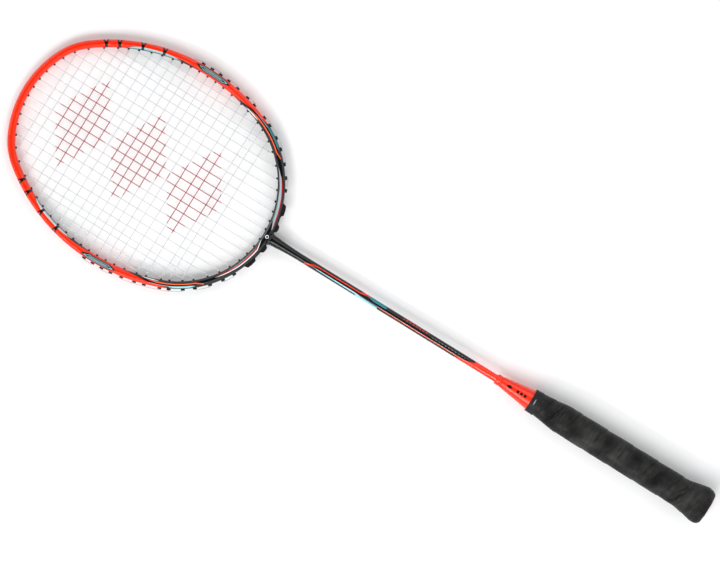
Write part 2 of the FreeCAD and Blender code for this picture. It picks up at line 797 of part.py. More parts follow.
def crossings(index):
    """Points of a cross over and under the mains, from left to right."""
    left, right = cross_line(index)
    found = []
    order = [(-1, k) for k in reversed(range(MAINS_PER_SIDE))] + [(1, k) for k in range(MAINS_PER_SIDE)]
    for number, (side, k) in enumerate(order):
        low, high = main_line(side, k)
        # the two straight lines cross where both run inside the hoop
        a = high - low
        b = right - left
        scale = a.x * b.y - a.y * b.x
        along_main = ((left.x - low.x) * b.y - (left.y - low.y) * b.x) / scale
        along_cross = ((left.x - low.x) * a.y - (left.y - low.y) * a.x) / scale
        if 0 < along_main < 1 and 0 < along_cross < 1:
            over = 1 if (number + index) % 2 else -1
            spot = low + a * along_main
            found.append(Vector(spot.x, spot.y, MAIN_Z + over * (STRING + float(S.weave_clearance))))
    found.sort(key=lambda spot: spot.x)
    return lifted([left] + found + [right])


def tie_off_main(path, side):
    """Take the end of the outermost main out, down one hole that only a cross uses, and knot it."""
    own = main_hole(side, MAINS_PER_SIDE - 1, "lower")
    free = [hole for hole in holes[side] if not hole.mains and hole.psi < own.psi][-1]
    out = outside_run(own, free, MAIN_Z)
    index = free.crosses[0]
    points = crossings(index)
    first = points[0] if side < 0 else points[-1]
    anchor = free.bend - UP * MAIN_Z
    turns, end = knot(anchor, first, 1)
    return out + [free.bend + UP * MAIN_Z, end], turns


def tie_off_cross(index, side, upward):
    """Take an end of the cross string to the next hole that only a main uses, and knot it."""
    own = cross_hole(side, index)
    if upward:
        free = [hole for hole in holes[side] if not hole.crosses and hole.psi > own.psi][0]
    else:
        free = [hole for hole in holes[side] if not hole.crosses and hole.psi < own.psi][-1]
    out = outside_run(own, free, -MAIN_Z)
    number, end_name = free.mains[0]
    low, high = main_line(side, number)
    anchor, toward = (low, high) if end_name == "lower" else (high, low)
    turns, end = knot(anchor, toward, -1)
    return out + [free.bend - UP * MAIN_Z, end], turns


def build_main_string():
    """All the mains in one length, from the left lower tie-off to the right lower one."""
    path = StringPath()
    ends, left_knot = tie_off_main(path, -1)
    for point in reversed(ends):
        path.add(point, RUN_BEND)
    order = [(-1, k) for k in reversed(range(MAINS_PER_SIDE))] + [(1, k) for k in range(MAINS_PER_SIDE)]
    upward = True
    for number, (side, index) in enumerate(order):
        start, finish = ("lower", "upper") if upward else ("upper", "lower")
        first = main_hole(side, index, start)
        last = main_hole(side, index, finish)
        path.add(first.bend + UP * MAIN_Z, INNER_BEND)
        path.add(last.bend + UP * MAIN_Z, INNER_BEND)
        if number < len(order) - 1:
            after = main_hole(*order[number + 1], finish)
            for point in outside_run(last, after, MAIN_Z):
                path.add(point, RUN_BEND)
        upward = not upward
    ends, right_knot = tie_off_main(path, 1)
    for point in ends:
        path.add(point, RUN_BEND)
    return path, left_knot + right_knot


def build_cross_string():
    """All the crosses in one length, from the right lower tie-off to the left upper one."""
    path = StringPath()
    ends, lower_knot = tie_off_cross(0, 1, False)
    for point in reversed(ends):
        path.add(point, RUN_BEND)
    side = 1
    for index in range(CROSSES):
        first = cross_hole(side, index)
        last = cross_hole(-side, index)
        woven = crossings(index)
        if side > 0:
            woven.reverse()
        path.add(first.bend - UP * MAIN_Z, INNER_BEND)
        for point in woven:
            path.add(point, float(S.weave_radius))
        path.add(last.bend - UP * MAIN_Z, INNER_BEND)
        if index < CROSSES - 1:
            for point in outside_run(last, cross_hole(-side, index + 1), -MAIN_Z):
                path.add(point, RUN_BEND)
            side = -side
    ends, upper_knot = tie_off_cross(CROSSES - 1, -side, True)
    for point in ends:
        path.add(point, RUN_BEND)
    return path, lower_knot + upper_knot


def string_node(name, built):
    """Sweep a string along its route, compare its volume and add the turns of its knots."""
    path, knots = built
    rod, length = round_rod(path.points, path.radii, STRING)
    expected = math.pi * STRING ** 2 / 4 * length
    if abs(rod.Volume / expected - 1) > 0.001:
        raise RuntimeError("%s sweeps to %g of its section times its length" % (name, rod.Volume / expected))
    print("%s is %.0f mm long" % (name, length))
    return hold_shape(name, Part.makeCompound([rod] + knots))


main_string = string_node("main_string", build_main_string())
cross_string = string_node("cross_string", build_cross_string())


# --------------------------------------------------------------------------- throat and T-joint
shaft_top = throat_y - S.neck_length
shaft_radius = S.shaft_diameter / 2
neck_waist = shaft_radius + S.neck_waist_swell
neck_top = shaft_radius + S.neck_top_swell
neck = turned_body("neck_envelope", [
    (ZERO, shaft_top), (shaft_radius, shaft_top),
    (neck_waist * 0.95, shaft_top + S.neck_length * 0.33),
    (neck_waist, shaft_top + S.neck_length * 0.55),
    (neck_waist * 1.07, shaft_top + S.neck_length * 0.68),
    (neck_top * 0.93, shaft_top + S.neck_length * 0.8),
    (neck_top, shaft_top + S.neck_length * 0.9),
    (neck_top, throat_y + S.rim_wall), (ZERO, throat_y + S.rim_wall)])
neck_bore = turned_body("neck_bore", [
    (ZERO, shaft_top - S.rim_wall), (S.shaft_bore / 2, shaft_top - S.rim_wall),
    (S.shaft_bore / 2, throat_y + S.rim_wall * 2), (ZERO, throat_y + S.rim_wall * 2)])
throat_fairing = combine("Cut", "throat_fairing", neck, [rim_envelope, neck_bore])

pin = turned_body("joint_pin", [
    (ZERO, shaft_top - S.pin_length), (pin_radius, shaft_top - S.pin_length),
    (pin_radius, throat_y + S.rim_wall * 2), (ZERO, throat_y + S.rim_wall * 2)])


def joint_wings():
    """The curved bar of the T-joint, inside the hollow of the throat."""
    gap = float(S.glue_gap)
    hollow = inset(rim_outline(), WALL + gap)
    limit = -90 + float(S.wing_angle)
    return swept_section([(u, z, float(S.rim_rounding) / 3) for u, z in hollow], -90, limit)


wings = hold_shape("joint_wings", joint_wings())
joint_body = doc.addObject("Part::Fuse", "joint_body")
joint_body.Base = pin
joint_body.Tool = wings
t_joint = combine("Cut", "t_joint", joint_body, [drillings])


# --------------------------------------------------------------------------- shaft and handle
def ring_body(name, outer_diameter, inner_diameter, start, end):
    """A tube on the racket's axis."""
    return turned_body(name, [(inner_diameter / 2, start), (outer_diameter / 2, start),
                              (outer_diameter / 2, end), (inner_diameter / 2, end)])


def rod_body(name, diameter, start, end):
    """A solid rod on the racket's axis."""
    return turned_body(name, [(ZERO, start), (diameter / 2, start), (diameter / 2, end), (ZERO, end)])


shaft = ring_body("shaft", S.shaft_diameter, S.shaft_bore, S.shaft_seat, shaft_top)
shaft_room = rod_body("shaft_room", S.shaft_diameter + S.glue_gap * 2, S.shaft_seat, S.cone_top + S.rim_wall)

collar = shaft_radius + S.cone_collar_wall
cone_envelope = turned_body("cone_envelope", [
    (ZERO, S.cone_base), (S.cone_base_diameter / 2, S.cone_base),
    (S.cone_edge_diameter / 2, S.tape_end), (collar, S.cone_top - S.cone_collar_length),
    (collar, S.cone_top - S.rim_wall / 2), (collar - S.rim_wall / 2, S.cone_top), (ZERO, S.cone_top)])
spigot_diameter = S.cone_base_diameter - S.cone_wall * 2
spigot_room = rod_body("spigot_room", spigot_diameter + S.glue_gap * 2, S.cone_base - S.rim_wall,
                       S.cone_base + S.spigot_length + S.glue_gap)
cone_cap = combine("Cut", "cone_cap", cone_envelope, [shaft_room, spigot_room])

# corner facet of a regular octagon against its half width
ROUND_CHAMFER = 2 - math.sqrt(2)
half_width = S.handle_width / 2
half_thickness = S.handle_thickness / 2
cone_half = S.cone_base_diameter / 2
core_envelope = octagon_loft("core_envelope", [
    (S.cap_length, S.butt_width / 2, S.butt_thickness / 2, S.butt_chamfer),
    (S.cap_length + 3.0, S.butt_width / 2 - 0.4, S.butt_thickness / 2 - 0.4, S.butt_chamfer - 0.1),
    (S.butt_flare_end, half_width, half_thickness, S.handle_chamfer),
    (S.handle_shoulder, half_width, half_thickness, S.handle_chamfer),
    (S.cone_base, cone_half, cone_half, cone_half * ROUND_CHAMFER)])
spigot = rod_body("handle_spigot", spigot_diameter, S.cone_base, S.cone_base + S.spigot_length)
core_with_spigot = doc.addObject("Part::Fuse", "core_with_spigot")
core_with_spigot.Base = core_envelope
core_with_spigot.Tool = spigot
plug_room = rod_body("plug_room", S.plug_diameter + S.glue_gap * 2, S.cap_length - S.rim_wall,
                     S.cap_length + S.plug_length + S.glue_gap)


def staple_box(name, width, place_x, depth):
    """One straight piece of the staple, flush with the handle's top facet."""
    box = doc.addObject("Part::Box", name)
    box.Length = float(width)
    box.Width = float(S.staple_wire)
    box.Height = float(depth)
    box.setExpression("Length", width.text)
    box.setExpression("Width", S.staple_wire.text)
    box.setExpression("Height", depth.text)
    box.setExpression("Placement.Base.x", place_x.text)
    box.setExpression("Placement.Base.y", S.staple_place.text)
    box.setExpression("Placement.Base.z", (half_thickness - depth).text)
    return box


staple = doc.addObject("Part::MultiFuse", "grip_staple")
staple.Label = "grip_staple"
staple.Shapes = [
    staple_box("staple_crown", S.staple_width, -(S.staple_width / 2), S.staple_wire),
    staple_box("staple_left_leg", S.staple_wire, -(S.staple_width / 2), S.staple_leg),
    staple_box("staple_right_leg", S.staple_wire, S.staple_width / 2 - S.staple_wire, S.staple_leg)]
handle_core = combine("Cut", "handle_core", core_with_spigot, [shaft_room, plug_room, staple])

cap_face = S.disc_proud
cap_envelope = octagon_loft("cap_envelope", [
    (cap_face, S.butt_width / 2 - S.cap_taper, S.butt_thickness / 2 - S.cap_taper, S.butt_chamfer - 0.6),
    (S.cap_length / 2, S.butt_width / 2 - S.cap_taper / 4, S.butt_thickness / 2 - S.cap_taper / 4,
     S.butt_chamfer - 0.1),
    (S.cap_length, S.butt_width / 2, S.butt_thickness / 2, S.butt_chamfer)])
cap_plug = rod_body("cap_plug", S.plug_diameter, S.cap_length, S.cap_length + S.plug_length)
cap_solid = doc.addObject("Part::Fuse", "cap_solid")
cap_solid.Base = cap_envelope
cap_solid.Tool = cap_plug
disc_room = rod_body("disc_room", S.disc_diameter + S.glue_gap * 2, cap_face - S.rim_wall, S.disc_thickness)
butt_cap = combine("Cut", "butt_cap", cap_solid, [disc_room])
butt_disc = rod_body("butt_disc", S.disc_diameter, ZERO, S.disc_thickness)

def tape_station(along, wide, thick, chamfer, extra=ZERO):
    """An octagon of the tape's outside: the piece below it and the tape all round."""
    cover = S.tape_thickness + extra
    return (along, wide + cover, thick + cover, chamfer + cover * ROUND_CHAMFER)


cone_edge = S.cone_edge_diameter / 2
band_start = S.tape_end - S.band_length
band_share = S.band_length / (S.tape_end - S.cone_base)
band_half = cone_edge + (cone_half - cone_edge) * band_share
top_cover = -(S.tape_thickness / 5)
tape_envelope = octagon_loft("tape_envelope", [
    tape_station(S.tape_start, S.butt_width / 2 - S.cap_taper * 0.8, S.butt_thickness / 2 - S.cap_taper * 0.8,
                 S.butt_chamfer - 0.6, top_cover),
    tape_station(S.cap_length / 2, S.butt_width / 2 - S.cap_taper / 4,
                 S.butt_thickness / 2 - S.cap_taper / 4, S.butt_chamfer - 0.1),
    tape_station(S.cap_length + 1.5, S.butt_width / 2, S.butt_thickness / 2, S.butt_chamfer),
    tape_station(S.butt_flare_end, half_width, half_thickness, S.handle_chamfer),
    tape_station(S.handle_shoulder, half_width, half_thickness, S.handle_chamfer),
    tape_station(S.cone_base, cone_half, cone_half, cone_half * ROUND_CHAMFER),
    tape_station(band_start, band_half, band_half, band_half * ROUND_CHAMFER, top_cover),
    tape_station(S.tape_end, cone_edge, cone_edge, cone_edge * ROUND_CHAMFER, top_cover)])
grip_tape = combine("Cut", "grip_tape", tape_envelope, [core_envelope, cone_envelope, cap_envelope])

band_envelope = octagon_loft("band_envelope", [
    tape_station(band_start, band_half, band_half, band_half * ROUND_CHAMFER, top_cover + S.band_thickness),
    tape_station(S.tape_end, cone_edge, cone_edge, cone_edge * ROUND_CHAMFER, top_cover + S.band_thickness)])
finishing_band = combine("Cut", "finishing_band", band_envelope, [tape_envelope])

# ---------------------------------------------------------------------------------------- parts
doc.recompute()
for item in doc.Objects:
    if "Invalid" in item.State or "Error" in item.State:
        raise RuntimeError("%s failed to build: %s" % (item.Label, item.State))

nodes = [head_frame, throat_fairing, t_joint, shaft, cone_cap, handle_core, butt_cap, butt_disc, grip_tape,
         finishing_band, staple, main_string, cross_string] + grommet_nodes
os.makedirs("parts", exist_ok=True)
for node in nodes:
    if node.Shape.isNull() or not node.Shape.isValid() or not node.Shape.Solids:
        raise RuntimeError("%s has no valid solid" % node.Label)
for node in nodes:
    node.Shape.exportStep("parts/%s.step" % node.Label)
    print("%-24s %3d solid(s) %10.1f mm3" % (node.Label, len(node.Shape.Solids), node.Shape.Volume))
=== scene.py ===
import math

import bpy
from mathutils import Matrix, Vector, noise


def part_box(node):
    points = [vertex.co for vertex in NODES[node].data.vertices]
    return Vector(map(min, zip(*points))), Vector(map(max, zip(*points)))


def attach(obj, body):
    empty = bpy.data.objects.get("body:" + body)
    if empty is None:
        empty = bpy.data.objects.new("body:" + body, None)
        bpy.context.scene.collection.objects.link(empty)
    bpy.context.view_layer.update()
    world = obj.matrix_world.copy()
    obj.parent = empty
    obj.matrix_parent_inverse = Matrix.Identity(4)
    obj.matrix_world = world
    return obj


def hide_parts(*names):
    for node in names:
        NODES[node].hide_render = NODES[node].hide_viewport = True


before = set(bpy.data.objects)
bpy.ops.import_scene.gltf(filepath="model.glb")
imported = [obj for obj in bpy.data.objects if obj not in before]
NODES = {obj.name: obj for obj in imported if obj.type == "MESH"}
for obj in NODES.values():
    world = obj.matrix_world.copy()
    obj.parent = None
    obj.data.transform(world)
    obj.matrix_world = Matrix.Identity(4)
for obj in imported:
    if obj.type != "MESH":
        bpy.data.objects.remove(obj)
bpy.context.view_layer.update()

bl_info = {
    "name": "Badminton Racket",
    "version": (1, 0, 0),
    "blender": (4, 5, 0),
    "location": "3D View > Sidebar > Racket",
    "description": "Builds the looks of a strung badminton racket around its packed frame",
    "category": "Object",
}

MM = 0.001


def near_side(name):
    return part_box(name)[0]


def far_side(name):
    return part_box(name)[1]


# ---- properties
def length(name, description, default):
    """A length in millimetres."""
    return bpy.props.FloatProperty(name=name, description=description, default=default)


def colour(name, description, default):
    return bpy.props.FloatVectorProperty(name=name, description=description, default=default, size=3,
                                         min=0.0, max=1.0, subtype="COLOR")


class RacketFinish(bpy.types.PropertyGroup):
    """Colours of the racket's finishes, as linear values."""

    orange: colour("Orange", "Main lacquer of the hoop and the cone", (0.86, 0.024, 0.002))
    black: colour("Black", "Dark lacquer of the throat and the shaft", (0.003, 0.003, 0.0035))
    silver: colour("Silver", "Pearl silver of the inlays", (0.36, 0.43, 0.45))
    # cyan and teal also serve as lit and shaded copies of one stripe or band: painted light and painted shade
    cyan: colour("Cyan", "Light cyan pinstripes", (0.28, 0.62, 0.65))
    teal: colour("Teal", "Teal stripes", (0.01, 0.20, 0.24))
    red: colour("Red", "Red pinstripes", (0.62, 0.012, 0.012))
    # on the shaft, salmon paints an orange pinstripe lighter, as a painted highlight
    salmon: colour("Salmon", "Light orange pinstripes", (0.90, 0.13, 0.05))
    white: colour("White", "White stripes", (0.82, 0.82, 0.82))
    string: colour("String", "Nylon of the strings", (0.60, 0.61, 0.62))
    stencil: colour("Stencil", "Ink on the strings", (0.32, 0.0, 0.012))
    grip: colour("Grip", "Polyurethane of the grip tape", (0.040, 0.040, 0.038))


class RacketHoop(bpy.types.PropertyGroup):
    """The hoop's outer line: tangent arcs from the crown to the throat, in millimetres."""

    crown_radius: length("Crown", "Radius at the crown", 94.23)
    upper_shoulder_radius: length("Upper shoulder", "Radius of the upper shoulder", 56.0)
    upper_side_radius: length("Upper side", "Radius of the upper side", 159.65)
    lower_side_radius: length("Lower side", "Radius of the lower side", 168.18)
    lower_shoulder_radius: length("Lower shoulder", "Radius of the lower shoulder", 90.5)
    throat_radius: length("Throat", "Radius at the throat", 89.5)


class RacketGrip(bpy.types.PropertyGroup):
    """The wound grip, in millimetres."""

    pitch: length("Pitch", "Rise of the tape in one turn", 25.0)
    phase: length("Phase", "Height of the first seam at the right side", 5.5)
    step: length("Step", "Height of the tape's overlapping edge", 0.6)
    swell: length("Swell", "Cushion between two seams", 0.14)
    wrinkle: length("Wrinkle", "Depth of the tape's wrinkles", 0.55)
    band_length: length("Band", "Length of the finishing band", 7.5)
    sides: bpy.props.IntProperty(name="Sides", description="Faces round one turn", default=144)


class RacketStage(bpy.types.PropertyGroup):
    """Floor, camera and lights."""

    floor_colour: colour("Floor", "Floor under the racket", (0.93, 0.93, 0.93))
    distance: bpy.props.FloatProperty(name="Distance", description="Camera over the racket", default=3.0,
                                      unit="LENGTH")
    width: bpy.props.FloatProperty(name="Width", description="Width of the field of view",
                                   default=0.6051, unit="LENGTH")
    turn: bpy.props.FloatProperty(name="Turn", description="Turn of the racket in the view",
                                  default=math.radians(-58.29), subtype="ANGLE")


# ---- graph helpers
def rgba(value):
    """Four channels for a colour of three; anything else stays."""
    if isinstance(value, bpy.types.NodeSocket) or value is None:
        return value
    return tuple(value)[:3] + (1.0,)


class Graph:
    """A node tree with short ways to add nodes and link or set their inputs."""

    def __init__(self, tree):
        self.tree = tree

    def put(self, socket, value):
        if isinstance(value, bpy.types.NodeSocket):
            self.tree.links.new(value, socket)
        elif value is not None:
            socket.default_value = value

    def add(self, kind, *values, **settings):
        """A node with its settings and its inputs in order; None leaves an input as it is."""
        node = self.tree.nodes.new(kind)
        for name, setting in settings.items():
            setattr(node, name, setting)
        for socket, value in zip(node.inputs, values):
            self.put(socket, value)
        return node

    def named(self, kind, values, **settings):
        """The outputs of a node with its settings and its inputs by name."""
        node = self.add(kind, **settings)
        for name, value in values.items():
            self.put(node.inputs[name], value)
        return node.outputs

    def math(self, operation, *values, clamp=False):
        return self.add("ShaderNodeMath", *values, operation=operation, use_clamp=clamp).outputs[0]

    def plus(self, first, second, clamp=False):
        return self.math("ADD", first, second, clamp=clamp)

    def minus(self, first, second, clamp=False):
        return self.math("SUBTRACT", first, second, clamp=clamp)

    def times(self, first, second, clamp=False):
        return self.math("MULTIPLY", first, second, clamp=clamp)

    def line(self, value, slope, start, clamp=False):
        """value * slope + start"""
        return self.math("MULTIPLY_ADD", value, slope, start, clamp=clamp)

    def reach(self, x, y):
        """Distance from the centre."""
        return self.math("SQRT", self.plus(self.times(x, x), self.times(y, y)))

    def stretched(self, place, shares):
        return self.add("ShaderNodeVectorMath", place, shares, operation="MULTIPLY").outputs["Vector"]

    def shaded(self, paint, share):
        """A colour made darker or lighter by a share that varies."""
        return self.add("ShaderNodeVectorMath", paint, None, None, share, operation="SCALE").outputs["Vector"]

    def place(self):
        """The place on the racket, in metres."""
        return self.add("ShaderNodeTexCoord").outputs["Object"]

    def axis_place(self):
        """Millimetres along the racket's axis, across it, and the height."""
        split = self.add("ShaderNodeSeparateXYZ", self.stretched(self.place(), (1 / MM,) * 3)).outputs
        return split["Y"], split["X"], split["Z"]

    def mix(self, kind, factor, first, second, **settings):
        return self.named("ShaderNodeMix", {"Factor": factor, "A": first, "B": second}, data_type=kind,
                          **settings)["Result"]

    def blend(self, factor, first, second):
        """Mix of two colours."""
        return self.mix("RGBA", factor, rgba(first), rgba(second))

    def noise(self, place, scale, detail=3.0, roughness=0.5):
        return self.named("ShaderNodeTexNoise", {"Vector": place, "Scale": scale, "Detail": detail,
                                                 "Roughness": roughness})["Fac"]

    def cells(self, place, scale, **settings):
        return self.named("ShaderNodeTexVoronoi", {"Vector": place, "Scale": scale}, **settings)

    def group(self, name, **values):
        """The outputs of a shared group, placed with its own values."""
        if name not in bpy.data.node_groups:
            GROUP_MAKERS[name]()
        return self.named("ShaderNodeGroup", values, node_tree=bpy.data.node_groups[name])


class GroupGraph(Graph):
    """The graph of a new shader node group, in which a socket named Color is a colour."""

    def __init__(self, name, inputs, outputs):
        super().__init__(bpy.data.node_groups.new(name, "ShaderNodeTree"))
        for names, direction in ((inputs, "INPUT"), (outputs, "OUTPUT")):
            for socket in names:
                kind = "NodeSocketColor" if socket == "Color" else "NodeSocketFloat"
                self.tree.interface.new_socket(socket, in_out=direction, socket_type=kind)
        self.given = self.add("NodeGroupInput").outputs
        self.result = self.add("NodeGroupOutput").inputs

    def give(self, **values):
        for name, value in values.items():
            self.put(self.result[name], value)


# ---- node groups
def hoop_arcs():
    """(start angle, centre x, centre y, radius) of the arcs from the crown down, in millimetres.

    Each arc's centre follows from the one before it, because neighbours share a tangent.
    """
    hoop = bpy.context.scene.racket_hoop
    crown = hoop.crown_radius
    turns = [(90.0, crown), (63.4, hoop.upper_shoulder_radius), (38.1, hoop.upper_side_radius),
             (0.0, hoop.lower_side_radius), (-21.4, hoop.lower_shoulder_radius),
             (-49.2, hoop.throat_radius)]
    centre = Vector((0.0, far_side("head_frame").y / MM - crown))
    arcs = [(90.0, centre.x, centre.y, crown)]
    for (_, before), (start, radius) in zip(turns, turns[1:]):
        angle = math.radians(start)
        centre = centre + Vector((math.cos(angle), math.sin(angle))) * (before - radius)
        arcs.append((start, centre.x, centre.y, radius))
    return arcs


def hoop_place_group():
    """Distance along the hoop from the crown and outward from its outer edge, in millimetres."""
    graph = GroupGraph("hoop_place", (), ("Along", "Outward", "Side"))
    up, sideways, _ = graph.axis_place()
    across = graph.math("ABSOLUTE", sideways)
    along = outward = None
    travelled = 0.0
    arcs = hoop_arcs()
    ends = [arc[0] for arc in arcs[1:]] + [-90.0]
    for (start, x, y, radius), end in zip(arcs, ends):
        dx = graph.minus(across, x)
        dy = graph.minus(up, y)
        angle = graph.math("ARCTAN2", dy, dx)
        begin = math.radians(start)
        here_along = graph.line(angle, -radius, travelled + begin * radius)
        here_outward = graph.minus(graph.reach(dx, dy), radius)
        if along is None:
            along, outward = here_along, here_outward
        else:
            chosen = graph.math("LESS_THAN", angle, begin)
            along = graph.mix("FLOAT", chosen, along, here_along)
            outward = graph.mix("FLOAT", chosen, outward, here_outward)
        travelled += (begin - math.radians(end)) * radius
    graph.give(Along=along, Outward=outward, Side=graph.math("GREATER_THAN", sideways, 0.0))


def stripe_group():
    """Mask between two sides of a painted stripe, crisp to a tenth of a millimetre or so."""
    graph = GroupGraph("stripe_mask", ("Outward", "Low", "High", "Crisp"), ("Mask",))
    above = graph.minus(graph.given["Outward"], graph.given["Low"])
    below = graph.minus(graph.given["High"], graph.given["Outward"])
    graph.give(Mask=graph.times(graph.math("MINIMUM", above, below), graph.given["Crisp"], clamp=True))


def lacquer_group():
    """Orange peel, fleck and handling marks of a sprayed lacquer; the fleck is painted glint, bright cells
    added to the colour.
    """
    graph = GroupGraph("lacquer_surface", ("Color", "Fleck", "Dull"), ("Color", "Roughness", "Height"))
    paint = graph.given["Color"]
    place = graph.place()
    flecks = graph.cells(place, 5200.0)["Color"]
    # painted glint: the brightest cells lighten the paint
    glint = graph.times(graph.math("POWER", flecks, 3.0), graph.given["Fleck"])
    cloud = graph.noise(place, 38.0, 4.0)
    marks = graph.noise(graph.stretched(place, (1.0, 0.12, 1.0)), 900.0, 5.0, 0.65)
    scuffs = graph.times(graph.minus(marks, 0.56, clamp=True), 2.2, clamp=True)
    rough = graph.line(cloud, 0.12, graph.given["Dull"])
    graph.give(Color=graph.mix("RGBA", glint, paint, paint, blend_type="ADD"),
               Roughness=graph.plus(rough, scuffs, clamp=True), Height=graph.noise(place, 420.0, 2.0))


def moulded_group():
    """Fine sparked grain and faint flow marks of moulded nylon."""
    graph = GroupGraph("moulded_surface", ("Color", "Grain", "Dull"), ("Color", "Roughness", "Height"))
    place = graph.place()
    grain = graph.noise(place, 4200.0, 3.0, 0.6)
    flow = graph.noise(graph.stretched(place, (1.0, 0.3, 1.0)), 210.0, 3.0)
    graph.give(Color=graph.shaded(graph.given["Color"], graph.line(flow, 0.5, 0.75)),
               Roughness=graph.line(grain, 0.22, graph.given["Dull"], clamp=True),
               Height=graph.times(grain, graph.given["Grain"]))


GROUP_MAKERS = {"hoop_place": hoop_place_group, "stripe_mask": stripe_group,
                "lacquer_surface": lacquer_group, "moulded_surface": moulded_group}


# ---- painting
PAINT_LOW = -12.0
PAINT_SPAN = 24.0
PAINT_CRISP = 120.0
PINCH = 0.3


class Painter:
    """Stacks painted stripes over a base colour, by place along and outward in millimetres."""

    def __init__(self, graph, base, along, outward):
        self.graph = graph
        self.colour = base
        self.along = along
        self.share = graph.line(outward, 1 / PAINT_SPAN, -PAINT_LOW / PAINT_SPAN)

    def lay(self, paint, mask):
        self.colour = self.graph.blend(mask, self.colour, paint)

    def side(self, place, stops):
        """A curve node for one side of a stripe, straight between its stops."""
        node = self.graph.add("ShaderNodeFloatCurve", None, place)
        curve = node.mapping.curves[0]
        places = [(share, (height - PAINT_LOW) / PAINT_SPAN) for share, height in stops]
        curve.points[0].location = places[0]
        curve.points[1].location = places[-1]
        for spot in places[1:-1]:
            curve.points.new(*spot)
        for point in curve.points:
            point.handle_type = "VECTOR"
        node.mapping.update()
        return node.outputs[0]

    def stripe(self, paint, stops, within=None):
        """A stripe through stops of (along, low, high), closed at both ends."""
        first, last = stops[0], stops[-1]
        begin = first[0] - PINCH
        run = last[0] + PINCH - begin
        place = self.graph.line(self.along, 1 / run, -begin / run, clamp=True)
        ends = [(begin, first), (last[0] + PINCH, last)]
        middles = [(along, (low + high) / 2) for along, (_, low, high) in ends]
        sides = []
        for column in (1, 2):
            inner = [(stop[0], stop[column]) for stop in stops]
            line = [middles[0]] + inner + [middles[1]]
            sides.append(self.side(place, [((along - begin) / run, height) for along, height in line]))
        mask = self.graph.group("stripe_mask", Outward=self.share, Low=sides[0], High=sides[1],
                                Crisp=PAINT_CRISP)["Mask"]
        if within is not None:
            mask = self.graph.times(mask, within)
        self.lay(paint, mask)

    def stripes(self, rows, paints, masks):
        """Stripes from rows of paint, mask and stops, each over the ones before it."""
        for paint, within, *stops in rows:
            self.stripe(getattr(paints, paint), stops, masks.get(within))

    def ring(self, paint, distance, place, half_width):
        """A band where a distance is near a value."""
        self.lay(paint, self.graph.math("COMPARE", distance, place, half_width))


# Rows for the hoop: the paint, the part of the hoop it is kept to, and stops of (along from the crown,
# low, high), with low and high measured outward from the hoop's outer edge.
INSIDE = -9.0
OUTSIDE = 3.0
INLAY = ((103, -6.3, -6.0), (107, -6.2, -4.9), (114, -6.1, -4.1), (133, -6.1, -4.3), (143, -6.2, -4.8),
         (151, -6.3, -5.9))
HOOP_INLAYS = (
    ("black", "left dashes", (42, -2.0, -1.2), (75, -2.1, -1.3)),
    ("black", "", (101.5, INSIDE, -6.0), (106, INSIDE, -4.7), (114, INSIDE, -3.9), (140, INSIDE, -4.3),
     (152, INSIDE, -5.5), (158, INSIDE, -6.2)),
    ("silver", "", *INLAY),
    ("cyan", "right hatch", *INLAY),
    ("white", "left hatch", *INLAY),
    ("white", "", (108, -5.0, -4.9), (116, -4.5, -4.2), (140, -4.8, -4.5), (147, -5.5, -5.2)),
    ("black", "", (109, -5.75, -5.6), (120, -5.6, -5.35), (140, -5.7, -5.45), (148, -6, -5.9)),
    ("black", "", (146, -4.9, -4.8), (152, -6.0, -4.8), (158, -6.6, -5.2), (170, -6.6, -6.1)),
)
FORK_PLACES = (84.1, 95.7, 115.9, 134.9)
HOOP_BADGES = (
    ("black", "", (163.5, -2.2, -1.6), (170.5, -5.2, -0.4), (191.5, -5.3, -0.5), (198, -2.6, -2.0)),
    ("cyan", "", (167.4, -2.5, -2.0), (172, -4.3, -1.2), (190.5, -4.4, -1.4), (195, -2.8, -2.2)),
    ("black", "", (168.6, -2.7, -2.2), (172.6, -4.0, -1.5), (190, -4.1, -1.6), (193.6, -2.9, -2.5)),
    ("silver", "hatch", (171.0, -2.9, -2.6), (173.6, -3.5, -1.9), (188.5, -3.6, -2.0), (191, -3.0, -2.6)),
)
OUTER_LINE = ((245.5, -2.1, -1.2), (250, -2.2, -0.6), (264, -2.2, -0.6), (268, -1.6, -1.2))
HOOP_SIDES = (
    ("black", "", (206, INSIDE, -6.3), (216, INSIDE, -4.6), (226, INSIDE, -2.6), (236, INSIDE, -1.9),
     (243, INSIDE, -0.8), (247, INSIDE, OUTSIDE), (352, INSIDE, OUTSIDE)),
    ("red", "", (212, -5.4, -5.2), (220, -4.2, -3.8), (226, -3.4, -3.1)),
    ("white", "", (219.5, -6.3, -6.1), (224, -6.1, -5.1), (231, -6.0, -4.8), (236, -5.4, -5.0)),
    ("salmon", "", (226, -4.6, -4.3), (234, -4.7, -3.4), (256, -4.4, -3.2), (269, -4.3, -3.1),
     (275.5, -2.2, -1.3)),
    ("silver", "", (228, -2.5, -2.2), (240, -2.4, -1.8), (246, -2.3, -1.7)),
    # one outer line in two colours: light cyan on the left, whose outer bevel faces the key light, and dark
    # teal on the right, which faces away: painted light and painted shade
    ("cyan", "left", *OUTER_LINE),
    ("teal", "right", *OUTER_LINE),
)
